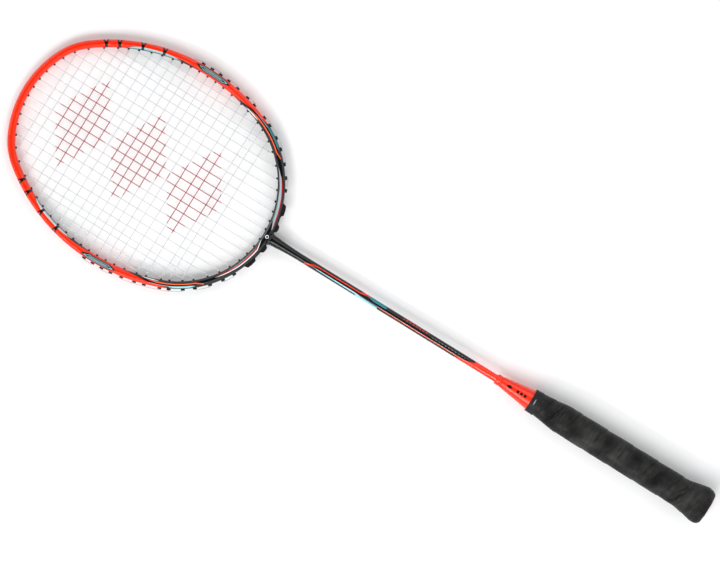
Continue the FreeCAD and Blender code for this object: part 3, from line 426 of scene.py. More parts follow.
HOOP_THROAT = (
    ("cyan", "", (300, -4.7, -4.5), (308, -4.9, -4.4), (330, -4.9, -4.5), (334, -4.8, -4.7)),
    ("white", "left", (286.5, -4.0, -3.8), (293, -4.0, -3.2), (310, -3.4, -2.4), (331, -3.1, -2.1),
     (336.5, -4.7, -3.9), (340, -5.3, -4.9)),
    ("red", "left", (287.5, -4.6, -4.2), (296, -4.8, -4.0), (310, -4.3, -3.4), (331, -4.2, -3.2),
     (334, -4.3, -4.0)),
    ("silver", "right", (282, -5.0, -4.8), (292, -5.0, -3.2), (310, -4.6, -2.6), (330, -4.2, -2.4),
     (338, -2.2, -1.6)),
    ("red", "right", (290, -3.3, -2.9), (300, -3.0, -2.2), (318, -2.6, -1.8), (332, -2.4, -1.7),
     (337, -1.6, -1.3)),
    ("silver", "", (332, -5.4, -5.05), (352, -5.4, -5.05)),
)
# Rows for the shaft and the cone: along from the butt, and across the axis.
FAR = 9.0
SHAFT_STRIPES = (
    ("orange", "", (200, -FAR, FAR), (228, -FAR, FAR), (231, -FAR, 1.2), (249, -FAR, -2.9),
     (252, -FAR, -3.6)),
    # the salmon line runs straight along the shaft's lit left side: an orange pinstripe painted lighter,
    # partly a painted highlight
    ("salmon", "", (240, -1.9, -1.1), (318, -1.8, -1.1), (326, -1.5, -1.3)),
    # teal on the right half and cyan on the left half (325 to 341) are one band: dark teal as painted shade,
    # light cyan as painted light
    ("teal", "", (318, 0.6, FAR), (330, 0.4, FAR), (337, 2.2, FAR)),
    ("cyan", "", (325, -FAR, -1.9), (341, -FAR, -1.5), (347, -2.2, -0.8), (384, -1.8, -1.1),
     (388, -1.2, -1.0)),
    ("orange", "", (334, 2.6, FAR), (343, 0.6, 1.7), (383, 0.4, 1.3), (388, -0.2, 1.2), (397, -3.2, -1.9)),
    ("red", "dashes", (276, 1.3, 2.5), (301, 1.3, 2.5)),
    ("silver", "dashes", (240, 0.6, 1.0), (273, 0.6, 1.0)),
)
CONE_MARKS = (
    ("black", "", (192.5, -0.1, 0.1), (195.5, -1.7, 1.7), (198.5, -0.1, 0.1)),
    ("black", "", (179.5, -1.3, 1.3), (181.4, -1.3, 1.3)),
    ("black", "", (183.0, -1.3, 1.3), (184.9, -1.3, 1.3)),
    ("black", "", (186.5, -1.3, 1.3), (188.4, -1.3, 1.3)),
)


def forked_marks():
    """Rows for four forked marks each side of the crown, each with a small orange wedge in its fork."""
    for place in FORK_PLACES:
        yield ("black", "", (place - 2.1, -1.4, OUTSIDE), (place - 1.3, -3.4, OUTSIDE),
               (place - 1.1, INSIDE, OUTSIDE), (place + 1.1, INSIDE, OUTSIDE),
               (place + 1.3, -3.4, OUTSIDE), (place + 2.1, -1.4, OUTSIDE))
        yield ("orange", "", (place - 0.75, -1.0, OUTSIDE), (place, -2.2, OUTSIDE),
               (place + 0.75, -1.0, OUTSIDE))


# ---- materials
class Finish(Graph):
    """A new material's graph; settings are plain values for its Principled shader's sockets."""

    def __init__(self, name, **settings):
        self.material = bpy.data.materials.new(name)
        self.material.use_nodes = True
        super().__init__(self.material.node_tree)
        self.shader = self.tree.nodes["Principled BSDF"]
        for socket, value in settings.items():
            self.shader.inputs[socket.replace("_", " ")].default_value = value

    def cover(self, base, rough, height=None, depth=0.0, strength=0.5):
        """The material with its colour, roughness and a bump of a depth in millimetres."""
        self.put(self.shader.inputs["Base Color"], base)
        self.put(self.shader.inputs["Roughness"], rough)
        if height is not None:
            relief = {"Strength": strength, "Distance": depth * MM, "Height": height}
            self.put(self.shader.inputs["Normal"], self.named("ShaderNodeBump", relief)["Normal"])
        return self.material

    def surface(self, group, depth, strength=0.5, **values):
        """The material with the surface that a shared group gives."""
        given = self.group(group, **values)
        return self.cover(given["Color"], given["Roughness"], given["Height"], depth, strength)

    def lacquered(self, paint, fleck):
        return self.surface("lacquer_surface", 0.02, Color=rgba(paint), Fleck=fleck, Dull=0.16)

    def dashes(self, along, rate, share):
        """Mask of short dashes along a stripe."""
        return self.math("LESS_THAN", self.math("FRACT", self.times(along, rate)), share)


def rim_material(paints):
    """Sprayed hoop: orange over the crown, black at the throat, with painted stripes and inlays; one outer
    line is painted light cyan on the lit left side and dark teal on the right, as painted light and painted
    shade.
    """
    finish = Finish("rim_lacquer", Coat_Weight=0.6, Coat_Roughness=0.1, Specular_IOR_Level=0.12)
    where = finish.group("hoop_place")
    along, outward, right = where["Along"], where["Outward"], where["Side"]
    left = finish.minus(1.0, right)
    slanted = finish.math("PINGPONG", finish.line(outward, 1.6, along), 0.5)
    hatch = finish.math("GREATER_THAN", slanted, 0.2)
    masks = {"left": left, "right": right, "hatch": hatch, "right hatch": finish.times(hatch, right),
             "left hatch": finish.minus(hatch, right, clamp=True),
             "left dashes": finish.times(finish.dashes(along, 0.37, 0.62), left)}
    painter = Painter(finish, paints.orange, along, outward)
    for rows in (HOOP_INLAYS, forked_marks(), HOOP_BADGES, HOOP_SIDES, HOOP_THROAT):
        painter.stripes(rows, paints, masks)
    up, across, _ = finish.axis_place()
    ring_middle, ring_radius, ring_half_width = near_side("head_frame").y / MM + 2.4, 1.25, 0.3
    distance = finish.reach(finish.minus(up, ring_middle), across)
    painter.ring(paints.white, distance, ring_radius, ring_half_width)
    return finish.lacquered(painter.colour, 0.25)


def throat_material(paints):
    """Plain black lacquer."""
    finish = Finish("black_lacquer", Coat_Weight=0.45, Coat_Roughness=0.1, Specular_IOR_Level=0.12)
    return finish.lacquered(paints.black, 0.2)


def shaft_material(paints):
    """Black shaft with slanting orange, cyan and teal stripes that turns orange above the cone; the cyan and
    teal halves of one band are painted light and painted shade, and the salmon line is partly a painted
    highlight.
    """
    finish = Finish("shaft_lacquer", Coat_Weight=0.6, Coat_Roughness=0.08, Specular_IOR_Level=0.12)
    along, across, _ = finish.axis_place()
    painter = Painter(finish, paints.black, along, across)
    painter.stripes(SHAFT_STRIPES, paints, {"dashes": finish.dashes(along, 0.31, 0.6)})
    return finish.lacquered(painter.colour, 0.18)


def cone_material(paints):
    """Satin orange cone with a small dark lozenge and three dark squares."""
    finish = Finish("cone_plastic", Coat_Weight=0.35, Coat_Roughness=0.28, Specular_IOR_Level=0.25)
    along, across, _ = finish.axis_place()
    painter = Painter(finish, paints.orange, along, across)
    painter.stripes(CONE_MARKS, paints, {})
    return finish.lacquered(painter.colour, 0.3)


LOZENGE_MIDDLES = (617.0, 562.0, 507.0)
LOZENGE_HALF_WIDTH = 43.0
LOZENGE_HALF_LENGTH = 27.0


def string_material(paints):
    """Braided nylon string, with three solid lozenges of ink over the string bed."""
    finish = Finish("string_nylon", Subsurface_Weight=0.05, Subsurface_Scale=0.0006,
                    Subsurface_Radius=(1.0, 1.0, 1.0), Specular_IOR_Level=0.3)
    along, across, high = finish.axis_place()
    ink = None
    for middle in LOZENGE_MIDDLES:
        dx = finish.math("DIVIDE", finish.math("ABSOLUTE", across), LOZENGE_HALF_WIDTH)
        dy = finish.math("DIVIDE", finish.math("ABSOLUTE", finish.minus(along, middle)), LOZENGE_HALF_LENGTH)
        inside = finish.math("LESS_THAN", finish.plus(dx, dy), 1.0)
        ink = inside if ink is None else finish.math("MAXIMUM", ink, inside)
    place = finish.place()
    worn = finish.line(finish.noise(place, 700.0, 4.0, 0.7), 1.2, 0.6, clamp=True)
    shade = finish.line(finish.noise(place, 60.0, 2.0), 0.12, 0.94)
    base = finish.shaded(tuple(paints.string), shade)
    twist = finish.plus(finish.plus(finish.times(along, 2.1), finish.times(across, 2.1)),
                        finish.times(high, 4.0))
    braid = finish.math("PINGPONG", twist, 1.0)
    return finish.cover(finish.blend(finish.times(ink, worn), base, paints.stencil),
                        finish.line(braid, 0.15, 0.3), braid, 0.03)


def moulded_material(name, specular, paint, dull, depth, strength):
    """Moulded plastic with a sparked grain."""
    finish = Finish(name, Specular_IOR_Level=specular)
    return finish.surface("moulded_surface", depth, strength, Color=rgba(paint), Grain=1.0, Dull=dull)


def grip_material(paints, grip):
    """Tacky polyurethane tape: pebbled, with pores and creased along each turn; painted shade in its seams,
    crease valleys and pores, and mottled patches of painted sheen all over.
    """
    finish = Finish("grip_polyurethane", Sheen_Weight=0.01, Sheen_Roughness=0.4, Specular_IOR_Level=0.15)
    place = finish.place()
    along, across, high = finish.axis_place()
    pebbles = finish.cells(place, 1150.0, feature="SMOOTH_F1")["Distance"]
    pores = finish.cells(place, 420.0)["Distance"]
    pore = finish.times(finish.minus(0.16, pores, clamp=True), 6.0, clamp=True)
    cloud = finish.noise(place, 55.0, 5.0, 0.6)
    handled = finish.noise(place, 14.0, 3.0)
    # share runs from 0 at a turn's lower edge to 1 at the next turn's
    turn = finish.math("DIVIDE", finish.math("ARCTAN2", high, across), math.tau)
    wound = finish.math("DIVIDE", finish.minus(along, grip.phase), grip.pitch)
    share = finish.math("FRACT", finish.minus(finish.plus(wound, 8.0), turn))
    # painted shadow along each seam, at the edge of the overlapping turn
    seam = finish.line(share, -28.0, 0.6, clamp=True)
    # creases fan out over the middle of a turn, in patches
    fan = finish.line(finish.math("ABSOLUTE", finish.minus(share, 0.6)), -3.0, 1.0, clamp=True)
    patch = finish.line(finish.noise(place, 34.0, 2.0), 6.0, -2.2, clamp=True)
    fan = finish.times(fan, patch)
    slant = finish.add("ShaderNodeCombineXYZ", finish.times(across, 0.11), finish.line(across, 0.42, along),
                       finish.times(high, 0.11))
    creases = finish.noise(slant.outputs["Vector"], 0.62, 3.0, 0.6)
    # painted shade in the crease valleys; the same valleys also sink the bump
    valley = finish.line(finish.math("ABSOLUTE", finish.minus(creases, 0.5)), -11.0, 1.0, clamp=True)
    valley = finish.times(valley, fan)
    # fine lines run round the grip, deepest where it flares
    stretch = finish.add("ShaderNodeCombineXYZ", finish.times(across, 0.06), along, finish.times(high, 0.06))
    lines = finish.noise(stretch.outputs["Vector"], 0.9, 3.0, 0.65)
    flare = finish.line(along, -0.09, 2.4, clamp=True)
    # painted sheen: lighter mottled patches over the tape, darker along its fine lines
    shade = finish.times(finish.line(cloud, 2.6, -0.7, clamp=True), finish.line(lines, 2.4, -0.3, clamp=True))
    shade = finish.line(finish.math("POWER", shade, 1.3), 0.95, 0.05)
    # painted shade: seams, crease valleys and pores blended towards near-black
    dark = finish.math("MAXIMUM", finish.math("MAXIMUM", valley, seam), pore)
    base = finish.blend(dark, finish.shaded(tuple(paints.grip), shade), (0.002, 0.002, 0.002))
    rough = finish.line(lines, 0.16, finish.line(handled, -0.30, 0.50))
    relief = finish.times(lines, finish.line(flare, 0.6, 0.25))
    relief = finish.line(valley, -0.45, relief)
    relief = finish.line(finish.times(creases, fan), 1.1, relief)
    fine = finish.times(finish.minus(pebbles, pore), 0.06)
    return finish.cover(base, rough, finish.plus(relief, fine), 1.6, 1.0)


def band_material():
    """Stretched black vinyl with a small pale dash."""
    finish = Finish("finishing_vinyl", Specular_IOR_Level=0.25)
    along, across, _ = finish.axis_place()
    painter = Painter(finish, (0.010, 0.010, 0.011), along, across)
    painter.stripe((0.30, 0.30, 0.31), [(170.9, -2.6, 2.6), (171.3, -2.6, 2.6)])
    stretch = finish.noise(finish.stretched(finish.place(), (1.0, 6.0, 1.0)), 240.0, 4.0)
    return finish.cover(painter.colour, finish.line(stretch, 0.3, 0.4), stretch, 0.08)


def wood_material():
    """Limewood with fine grain along the handle."""
    finish = Finish("handle_wood")
    stretched = finish.stretched(finish.place(), (1.0, 0.06, 1.0))
    grain = finish.noise(stretched, 900.0, 6.0, 0.65)
    rings = finish.noise(stretched, 120.0, 2.0)
    tone = finish.blend(grain, (0.50, 0.33, 0.17), (0.72, 0.53, 0.32))
    base = finish.blend(finish.times(rings, 0.5), tone, (0.38, 0.22, 0.10))
    return finish.cover(base, finish.line(grain, 0.25, 0.5), grain, 0.08, 0.6)


def medallion_material(paints):
    """Metallic orange medallion with turned rings."""
    finish = Finish("medallion", Coat_Weight=0.8, Coat_Roughness=0.05)
    _, across, high = finish.axis_place()
    radius = finish.reach(across, high)
    ring_radius, ring_half_width = 6.2, 0.35
    ring = finish.math("COMPARE", radius, ring_radius, ring_half_width)
    rings = finish.math("SINE", finish.times(radius, 24.0))
    return finish.cover(finish.blend(ring, paints.orange, paints.white), finish.line(rings, 0.05, 0.3), rings,
                        0.03, 0.4)


def fibrous_material(name, direction, scale, colours, rough, depth, **settings):
    """A surface with fine streaks in one direction, between two colours."""
    finish = Finish(name, **settings)
    streaks = finish.noise(finish.stretched(finish.place(), direction), scale, 4.0, 0.7)
    return finish.cover(finish.blend(streaks, *colours), finish.line(streaks, 0.3, rough), streaks, depth)


def cover_node(name, material):
    """Give every material slot of a CAD node this material."""
    for slot in NODES[name].material_slots:
        slot.material = material


# ---- modelling helpers
def deselect():
    if bpy.context.object is not None and bpy.context.object.mode != "OBJECT":
        bpy.ops.object.mode_set(mode="OBJECT")
    bpy.ops.object.select_all(action="DESELECT")


def make_active(piece):
    deselect()
    piece.select_set(True)
    bpy.context.view_layer.objects.active = piece


def face_outwards():
    """Turn the faces of the piece in edit mode outwards, and leave edit mode."""
    bpy.ops.mesh.select_all(action="SELECT")
    bpy.ops.mesh.normals_make_consistent(inside=False)
    bpy.ops.object.mode_set(mode="OBJECT")


def turned(name, profile, sides=96):
    """A closed piece turned about the racket's axis, from (along, radius) stations in millimetres."""
    deselect()
    start, radius = profile[0]
    bpy.ops.mesh.primitive_circle_add(vertices=sides, radius=radius * MM, fill_type="NGON",
                                      location=(0, start * MM, 0), rotation=(math.pi / 2, 0, 0))
    piece = bpy.context.object
    piece.name = name
    bpy.ops.object.transform_apply(location=True, rotation=True, scale=True)
    bpy.ops.object.mode_set(mode="EDIT")
    bpy.ops.mesh.select_mode(type="FACE")
    bpy.ops.mesh.select_all(action="SELECT")
    for (before, was), (along, radius) in zip(profile, profile[1:]):
        step = (0, (along - before) * MM, 0)
        bpy.ops.mesh.extrude_region_move(TRANSFORM_OT_translate={"value": step})
        bpy.ops.transform.resize(value=(radius / was, 1, radius / was), center_override=(0, along * MM, 0))
    face_outwards()
    return piece


def smooth(piece, degrees):
    make_active(piece)
    bpy.ops.object.shade_smooth_by_angle(angle=math.radians(degrees))


def dress(piece, material, slot, *nodes):
    """Give a piece its finish and its body, and hide the CAD nodes that it stands for; the slot is not used.
    """
    piece.data.materials.clear()
    piece.data.materials.append(material)
    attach(piece, "root")
    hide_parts(*nodes)


def mesh_piece(name, points, faces):
    """An object from points in metres and faces."""
    mesh = bpy.data.meshes.new(name)
    mesh.from_pydata([tuple(point) for point in points], [], faces)
    mesh.update()
    piece = bpy.data.objects.new(name, mesh)
    bpy.context.scene.collection.objects.link(piece)
    return piece


# ---- the grip
# (along, half width, half thickness, corner facet) of the tape's outside, in millimetres
GRIP_STATIONS = [(-10.0, 13.9, 12.0, 7.6), (1.0, 14.6, 12.7, 7.75), (2.6, 15.9, 14.0, 8.3),
                 (4.8, 16.6, 14.75, 8.5), (8.5, 16.6, 14.7, 8.5), (25.0, 13.1, 11.4, 6.5),
                 (144.0, 13.1, 11.4, 6.5), (160.0, 11.0, 11.0, 6.4), (167.0, 10.4, 10.4, 6.1),
                 (174.5, 10.1, 10.1, 5.9), (190.0, 9.9, 9.9, 5.8)]
CORNER_SHARPNESS = 11.0
FLARE_TOP = 9.0
CONE_SEAT = 165.0


def grip_section(along):
    """Half width, half thickness and facet of the grip, eased between its stations."""
    def straight(place):
        for low, high in zip(GRIP_STATIONS, GRIP_STATIONS[1:]):
            if place <= high[0] or high is GRIP_STATIONS[-1]:
                share = (place - low[0]) / (high[0] - low[0])
                return [a + (b - a) * share for a, b in zip(low[1:], high[1:])]
    spread = 0.8 if along < FLARE_TOP or along > CONE_SEAT else 2.5
    near = [straight(along + spread * step / 2) for step in (-2, -1, 0, 1, 2)]
    return [sum(values) / len(values) for values in zip(*near)]


def grip_radius(along, angle):
    """Radius of the rounded octagon round the grip at an angle from +X towards +Z."""
    half_width, half_thickness, facet = grip_section(along)
    slanted = (half_width + half_thickness - facet) / math.sqrt(2)
    total = 0.0
    for k in range(8):
        reach = slanted if k % 2 else (half_width if k % 4 == 0 else half_thickness)
        facing = math.cos(angle - k * math.pi / 4)
        if facing > 0:
            total += (facing / reach) ** CORNER_SHARPNESS
    return total ** (-1 / CORNER_SHARPNESS)


def grip_point(along, angle, cover):
    """A point in metres, at a cover in millimetres over the grip's envelope."""
    radius = grip_radius(along, angle) + cover
    return Vector((math.cos(angle) * radius, along, math.sin(angle) * radius)) * MM


EDGE_ROWS = [0.0, 0.05, 0.12, 0.22, 0.4, 0.7, 1.1, 1.6]
ROW_STEP = 0.62
LAST_ROWS = [24.4, 24.8]
LAST_ROOM = 0.8


def grip_rows():
    """Heights within one turn of tape, close together at its edge."""
    rows = list(EDGE_ROWS)
    while rows[-1] < LAST_ROWS[0] - LAST_ROOM:
        rows.append(rows[-1] + ROW_STEP)
    return rows + LAST_ROWS


EDGE_EASE = 0.22
LAP_FALL = 0.75
GROOVE_DEPTH = 0.25
GROOVE_EASE = 0.5
GRIP_RADIUS = 12.0
CREASE_SLANT = 0.33
CREASE_MIDDLE = 0.58
CREASE_SPREAD = 0.26
DIMPLE = 0.05


def tape_relief(grip, turn_height, angle, along):
    """How far the tape lies under its envelope: edge step, cushion and wrinkles, in millimetres."""
    share = turn_height / grip.pitch
    edge = 1 - math.exp(-turn_height / EDGE_EASE)
    fall = LAP_FALL * turn_height / grip.pitch
    groove = math.exp(-(grip.pitch - turn_height) / GROOVE_EASE)
    height = edge * (1 - fall) - GROOVE_DEPTH * groove
    height *= grip.step
    height += grip.swell * math.sin(math.pi * share) - grip.step - grip.swell
    around = angle * GRIP_RADIUS
    slide = along + around * CREASE_SLANT
    crease = noise.noise(Vector((around * 0.10, slide * 0.95, 3.0)))
    patchy = noise.noise(Vector((around * 0.06, along * 0.07, 11.0)))
    window = math.exp(-((share - CREASE_MIDDLE) / CREASE_SPREAD) ** 2)
    window *= max(0.0, min(1.0, 0.35 + 1.6 * patchy))
    ridge = max(0.0, 0.55 - abs(crease) * 3.2)
    height += grip.wrinkle * window * (ridge - 0.3)
    height += DIMPLE * noise.noise(Vector((around * 0.22, along * 0.22, 7.0)))
    return min(height, 0.0)


class RACKET_OT_grip(bpy.types.Operator):
    """Wind the grip tape round the handle and put on its finishing band"""

    bl_idname = "racket.grip"
    bl_label = "Grip tape"

    def execute(self, context):
        grip = context.scene.racket_grip
        start = near_side("grip_tape").y / MM
        end = far_side("grip_tape").y / MM
        self.wind_tape(grip, start, end)
        self.put_band(grip, end)
        return {"FINISHED"}

    def wind_tape(self, grip, start, end):
        """One helical sheet of quads, each turn's top row shared with the next turn's edge."""
        rows = grip_rows()
        sides = grip.sides
        turns = math.ceil((end - start) / grip.pitch) + 3
        points = []
        for step in range(turns * sides + 1):
            angle = math.tau * step / sides
            base = grip.phase - 2 * grip.pitch + grip.pitch * step / sides
            for height in rows:
                along = base + height
                points.append(grip_point(along, angle, tape_relief(grip, height, angle % math.tau, along)))
        faces = []
        count = len(rows)
        for step in range(turns * sides):
            first = step * count
            for k in range(count - 1):
                faces.append((first + k, first + k + 1, first + count + k + 1, first + count + k))
            if step + sides < turns * sides:
                upper = (step + sides) * count
                faces.append((first + count - 1, upper, upper + count, first + 2 * count - 1))
        tape = mesh_piece("wound_grip_tape", points, faces)
        make_active(tape)
        bpy.ops.object.mode_set(mode="EDIT")
        for place, clear_inner in ((start, True), (end, False)):
            bpy.ops.mesh.select_all(action="SELECT")
            bpy.ops.mesh.bisect(plane_co=(0, place * MM, 0), plane_no=(0, 1, 0), use_fill=True,
                                clear_inner=clear_inner, clear_outer=not clear_inner)
        face_outwards()
        smooth(tape, 50)
        dress(tape, grip_material(bpy.context.scene.racket_finish, grip), "grip_polyurethane", "grip_tape")

    def put_band(self, grip, end):
        """A stretched band over the tape's end, pulled in a little at both edges."""
        sides = grip.sides
        profile = [(-grip.band_length, -0.35), (-grip.band_length, 0.02), (-grip.band_length + 0.25, 0.14),
                   (-5.0, 0.1), (-3.6, 0.17), (-2.0, 0.12), (-0.4, 0.14), (-0.06, 0.02), (-0.06, -0.5)]
        points = []
        for offset, cover in profile:
            for k in range(sides):
                points.append(grip_point(end + offset, math.tau * k / sides, cover))
        faces = []
        for row in range(len(profile) - 1):
            for k in range(sides):
                after = (k + 1) % sides
                faces.append((row * sides + k, (row + 1) * sides + k, (row + 1) * sides + after,
                              row * sides + after))
        faces.append(tuple(range(sides)))
        faces.append(tuple((len(profile) - 1) * sides + k for k in reversed(range(sides))))
        band = mesh_piece("stretched_finishing_band", points, faces)
        make_active(band)
        bpy.ops.object.mode_set(mode="EDIT")
        face_outwards()
        smooth(band, 40)
        dress(band, band_material(), "finishing_vinyl", "finishing_band")


# ---- cone, shaft and throat
class RACKET_OT_cone(bpy.types.Operator):
    """Turn the cone cap with its collar"""

    bl_idname = "racket.cone"
    bl_label = "Cone cap"

    def execute(self, context):
        low = near_side("cone_cap").y / MM
        top = far_side("cone_cap").y / MM
        base = far_side("cone_cap").x / MM
        collar = 4.6
        edge = top - 4.5
        knee, knee_radius = low + 14.5, 8.95
        profile = [(low + 0.3, base - 0.6), (low + 0.5, base - 0.3), (knee, knee_radius)]
        for share in (0.2, 0.4, 0.6, 0.8, 0.92):
            along = knee + (edge - knee) * share
            profile.append((along, knee_radius + (collar - knee_radius) * share ** 0.97))
        profile += [(edge - 0.25, collar + 0.02), (edge, collar - 0.12), (edge + 0.2, collar - 0.28),
                    (edge + 0.45, collar - 0.28), (edge + 0.65, collar - 0.05), (edge + 0.95, collar),
                    (top - 0.9, collar), (top - 0.45, collar - 0.12), (top - 0.12, collar - 0.42),
                    (top, collar - 0.85), (top, 3.3), (top - 1.0, 3.28)]
        cone = turned("turned_cone", profile)
        smooth(cone, 42)
        dress(cone, cone_material(context.scene.racket_finish), "cone_plastic", "cone_cap")
        return {"FINISHED"}


class RACKET_OT_throat(bpy.types.Operator):
    """Shape the fairing that swells from the shaft into the hoop"""

    bl_idname = "racket.throat"
    bl_label = "Throat fairing"

    def execute(self, context):
        low = near_side("throat_fairing").y / MM
        edge = near_side("head_frame").y / MM
        shaft = far_side("shaft").x / MM
        swell = [(0.0, 0.0), (0.3, 0.05), (4.5, 0.12), (9.0, 0.3), (13.5, 0.55), (17.5, 0.85), (20.5, 1.12),
                 (23.0, 1.32), (25.0, 1.45), (26.6, 1.58), (27.6, 1.72), (28.3, 1.9), (28.9, 2.0),
                 (29.8, 1.95)]
        profile = [(low + rise, shaft + grown) for rise, grown in swell]
        fairing = turned("flared_fairing", profile)
        fillet, fillet_length, spread = edge - 3.0, 3.2, 0.42
        half_thickness, pinch = 5.0 * MM, 1.3 * MM
        for vertex in fairing.data.vertices:
            over = vertex.co.y / MM - fillet
            if over > 0:
                share = min(over / fillet_length, 1.0)
                vertex.co.x *= 1 + spread * share ** 2
                limit = half_thickness - pinch * share ** 3
                vertex.co.z *= min(1.0, limit / max(abs(vertex.co.z), 1e-9))
        smooth(fairing, 50)
        dress(fairing, throat_material(context.scene.racket_finish), "black_lacquer", "throat_fairing")
        cover_node("shaft", shaft_material(context.scene.racket_finish))
        return {"FINISHED"}


class RACKET_OT_hoop(bpy.types.Operator):
    """Spray the hoop with its stripes and inlays"""

    bl_idname = "racket.hoop"
    bl_label = "Hoop"

    def execute(self, context):
        cover_node("head_frame", rim_material(context.scene.racket_finish))
        return {"FINISHED"}


class RACKET_OT_grommets(bpy.types.Operator):
    """Finish the grommets and the throat strips"""

    bl_idname = "racket.grommets"
    bl_label = "Grommets"

    def execute(self, context):
        nylon = moulded_material("grommet_nylon", specular=0.2, paint=(0.004, 0.004, 0.0044), dull=0.38,
                                 depth=0.02, strength=0.5)
        for name in NODES:
            if name.endswith("_grommets") or name.endswith("_throat_strip"):
                cover_node(name, nylon)
        return {"FINISHED"}


MERGE_GAP = 0.002 * MM
KEPT_SHARE = 0.6


class RACKET_OT_strings(bpy.types.Operator):
    """Finish the strings, with a lighter mesh for the woven crosses"""

    bl_idname = "racket.strings"
    bl_label = "Strings"

    def execute(self, context):
        nylon = string_material(context.scene.racket_finish)
        cover_node("main_string", nylon)
        crosses = bpy.data.objects.new("woven_cross_string", NODES["cross_string"].data.copy())
        context.scene.collection.objects.link(crosses)
        make_active(crosses)
        bpy.ops.mesh.customdata_custom_splitnormals_clear()
        bpy.ops.object.mode_set(mode="EDIT")
        bpy.ops.mesh.select_all(action="SELECT")
        bpy.ops.mesh.remove_doubles(threshold=MERGE_GAP)
        bpy.ops.object.mode_set(mode="OBJECT")
        thin = crosses.modifiers.new("thin_out", "DECIMATE")
        thin.ratio = KEPT_SHARE
        bpy.ops.object.modifier_apply(modifier=thin.name)
        smooth(crosses, 60)
        dress(crosses, nylon, "string_nylon", "cross_string")
        return {"FINISHED"}


class RACKET_OT_butt(bpy.types.Operator):
    """Finish the butt cap and what the handle holds, and turn the medallion"""

    bl_idname = "racket.butt"
    bl_label = "Butt cap"

    def execute(self, context):
        cover_node("butt_cap", moulded_material("cap_plastic", specular=0.5, paint=(0.014, 0.014, 0.016),
                                                dull=0.36, depth=0.05, strength=0.6))
        radius = far_side("butt_disc").x / MM
        top = far_side("butt_disc").y / MM
        profile = [(top, radius - 0.2), (0.35, radius), (0.12, radius - 0.08), (0.02, radius - 0.35),
                   (0.0, radius - 0.9), (0.05, radius - 1.25), (0.28, radius - 1.5), (0.3, radius - 2.4),
                   (0.22, radius - 2.8), (0.2, 1.5)]
        disc = turned("turned_medallion", profile, 128)
        smooth(disc, 35)
        dress(disc, medallion_material(context.scene.racket_finish), "medallion", "butt_disc")
        cover_node("handle_core", wood_material())
        cover_node("t_joint", fibrous_material(
            "joint_composite", direction=(0.2, 1.0, 1.0), scale=2600.0, rough=0.35, depth=0.04,
            colours=((0.02, 0.02, 0.022), (0.07, 0.07, 0.07))))
        cover_node("grip_staple", fibrous_material(
            "staple_steel", direction=(0.1, 1.0, 1.0), scale=3000.0, rough=0.25, depth=0.02,
            colours=((0.42, 0.43, 0.44), (0.62, 0.62, 0.60)), Metallic=1.0))
        return {"FINISHED"}


# ---- stage
HEAD = (0.0, 0.42, 0.0)
GRIP = (0.0, 0.09, 0.0)
# name, place, what it shines on, size and power of each softbox
LIGHTS = (
    ("key_light", (-1.45, 0.5, 1.55), HEAD, (1.1, 1.0), 18.0),
    ("edge_light", (-1.25, 0.4, 1.15), HEAD, (1.5, 0.1), 6.0),
    ("right_light", (1.5, 0.3, 1.6), HEAD, (1.6, 1.2), 12.5),
    ("crown_light", (0.0, 2.3, 1.5), HEAD, (1.8, 1.0), 11.5),
    ("butt_light", (-0.2, -1.5, 1.5), HEAD, (1.8, 1.0), 11.5),
    ("grip_light", (-0.42, 0.05, 1.05), GRIP, (0.25, 0.45), 3.4),
)
VIEW_MIDDLE = (2.37 * MM, 344.6 * MM, 0.0)
FLOOR_SIZE = 9.0
FLOOR_GAP = 0.1 * MM
BUTT_REST = 5.0 * MM
CROWN_REST = 3.2 * MM
GLOW = 0.56
GLOW_FADE_FROM = 0.45


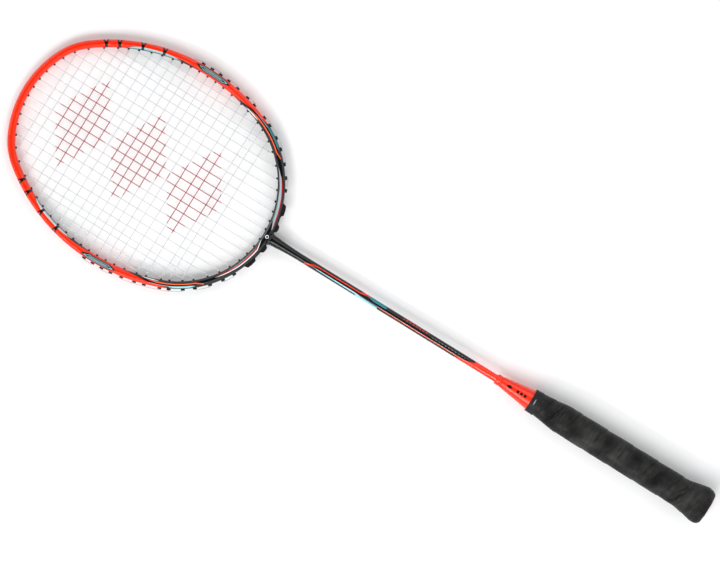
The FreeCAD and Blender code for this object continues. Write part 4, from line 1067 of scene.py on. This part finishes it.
class RACKET_OT_stage(bpy.types.Operator):
    """Lay the floor, hang the lights and set the camera"""

    bl_idname = "racket.stage"
    bl_label = "Stage"

    def execute(self, context):
        stage = context.scene.racket_stage
        self.lay_floor(stage)
        self.set_camera(context, stage)
        for light in LIGHTS:
            self.hang_light(context, *light)
        self.glow(context)
        return {"FINISHED"}

    def lay_floor(self, stage):
        """A floor that touches the butt and the crown from below."""
        butt = Vector((0.0, BUTT_REST, near_side("grip_tape").z))
        crown = Vector((0.0, far_side("head_frame").y - CROWN_REST, near_side("head_frame").z))
        slope = math.atan2(crown.z - butt.z, crown.y - butt.y)
        deselect()
        bpy.ops.mesh.primitive_plane_add(size=FLOOR_SIZE)
        floor = bpy.context.object
        floor.name = "studio_floor"
        turn = Matrix.Translation(butt - Vector((0, 0, FLOOR_GAP))) @ Matrix.Rotation(slope, 4, "X")
        floor.data.transform(turn)
        finish = Finish("floor_paper", Specular_IOR_Level=0.1)
        paper = finish.noise(finish.place(), 900.0, 3.0)
        tone = finish.shaded(tuple(stage.floor_colour), finish.line(paper, 0.02, 0.99))
        floor.data.materials.append(finish.cover(tone, finish.line(paper, 0.1, 0.85)))

    def set_camera(self, context, stage):
        lens = bpy.data.cameras.new("studio_camera")
        lens.sensor_width = 36.0
        lens.lens = lens.sensor_width * stage.distance / stage.width
        camera = bpy.data.objects.new("studio_camera", lens)
        context.scene.collection.objects.link(camera)
        camera.location = Vector(VIEW_MIDDLE) + Vector((0.0, 0.0, stage.distance))
        camera.rotation_euler = (0.0, 0.0, stage.turn)
        context.scene.camera = camera
        context.scene.view_settings.view_transform = "Standard"

    def glow(self, context):
        """A soft glow all round that is weakest overhead."""
        world = bpy.data.worlds.new("studio") if context.scene.world is None else context.scene.world
        context.scene.world = world
        world.use_nodes = True
        graph = Graph(world.node_tree)
        background = world.node_tree.nodes["Background"]
        background.inputs["Color"].default_value = (0.95, 0.97, 1.0, 1.0)
        parts = graph.add("ShaderNodeSeparateXYZ", graph.add("ShaderNodeTexCoord").outputs["Generated"])
        height = graph.minus(parts.outputs["Z"], GLOW_FADE_FROM, clamp=True)
        graph.put(background.inputs["Strength"], graph.line(height, -1.0, GLOW))

    def hang_light(self, context, name, place, target, size, power):
        lamp = bpy.data.lights.new(name, "AREA")
        lamp.shape = "RECTANGLE"
        lamp.size, lamp.size_y = size
        lamp.energy = power
        light = bpy.data.objects.new(name, lamp)
        context.scene.collection.objects.link(light)
        light.location = place
        light.rotation_euler = (Vector(target) - Vector(place)).to_track_quat("-Z", "Y").to_euler()


# ---- panel and main
class RACKET_PT_panel(bpy.types.Panel):
    """Lists the racket's pieces"""

    bl_label = "Badminton Racket"
    bl_idname = "RACKET_PT_panel"
    bl_space_type = "VIEW_3D"
    bl_region_type = "UI"
    bl_category = "Racket"

    def draw(self, context):
        for operator in OPERATORS:
            self.layout.operator(operator.bl_idname)


SETTINGS = {"racket_finish": RacketFinish, "racket_hoop": RacketHoop, "racket_grip": RacketGrip,
            "racket_stage": RacketStage}
OPERATORS = [RACKET_OT_hoop, RACKET_OT_grommets, RACKET_OT_strings, RACKET_OT_throat, RACKET_OT_cone,
             RACKET_OT_grip, RACKET_OT_butt, RACKET_OT_stage]


def register():
    for group in SETTINGS.values():
        bpy.utils.register_class(group)
    for operator in OPERATORS:
        bpy.utils.register_class(operator)
    bpy.utils.register_class(RACKET_PT_panel)
    for name, group in SETTINGS.items():
        setattr(bpy.types.Scene, name, bpy.props.PointerProperty(type=group))


def unregister():
    for name in SETTINGS:
        delattr(bpy.types.Scene, name)
    bpy.utils.unregister_class(RACKET_PT_panel)
    for operator in reversed(OPERATORS):
        bpy.utils.unregister_class(operator)
    for group in reversed(list(SETTINGS.values())):
        bpy.utils.unregister_class(group)


def main():
    register()
    bpy.ops.racket.hoop()
    bpy.ops.racket.grommets()
    bpy.ops.racket.strings()
    bpy.ops.racket.throat()
    bpy.ops.racket.cone()
    bpy.ops.racket.grip()
    bpy.ops.racket.butt()
    bpy.ops.racket.stage()


if __name__ == "__main__":
    main()
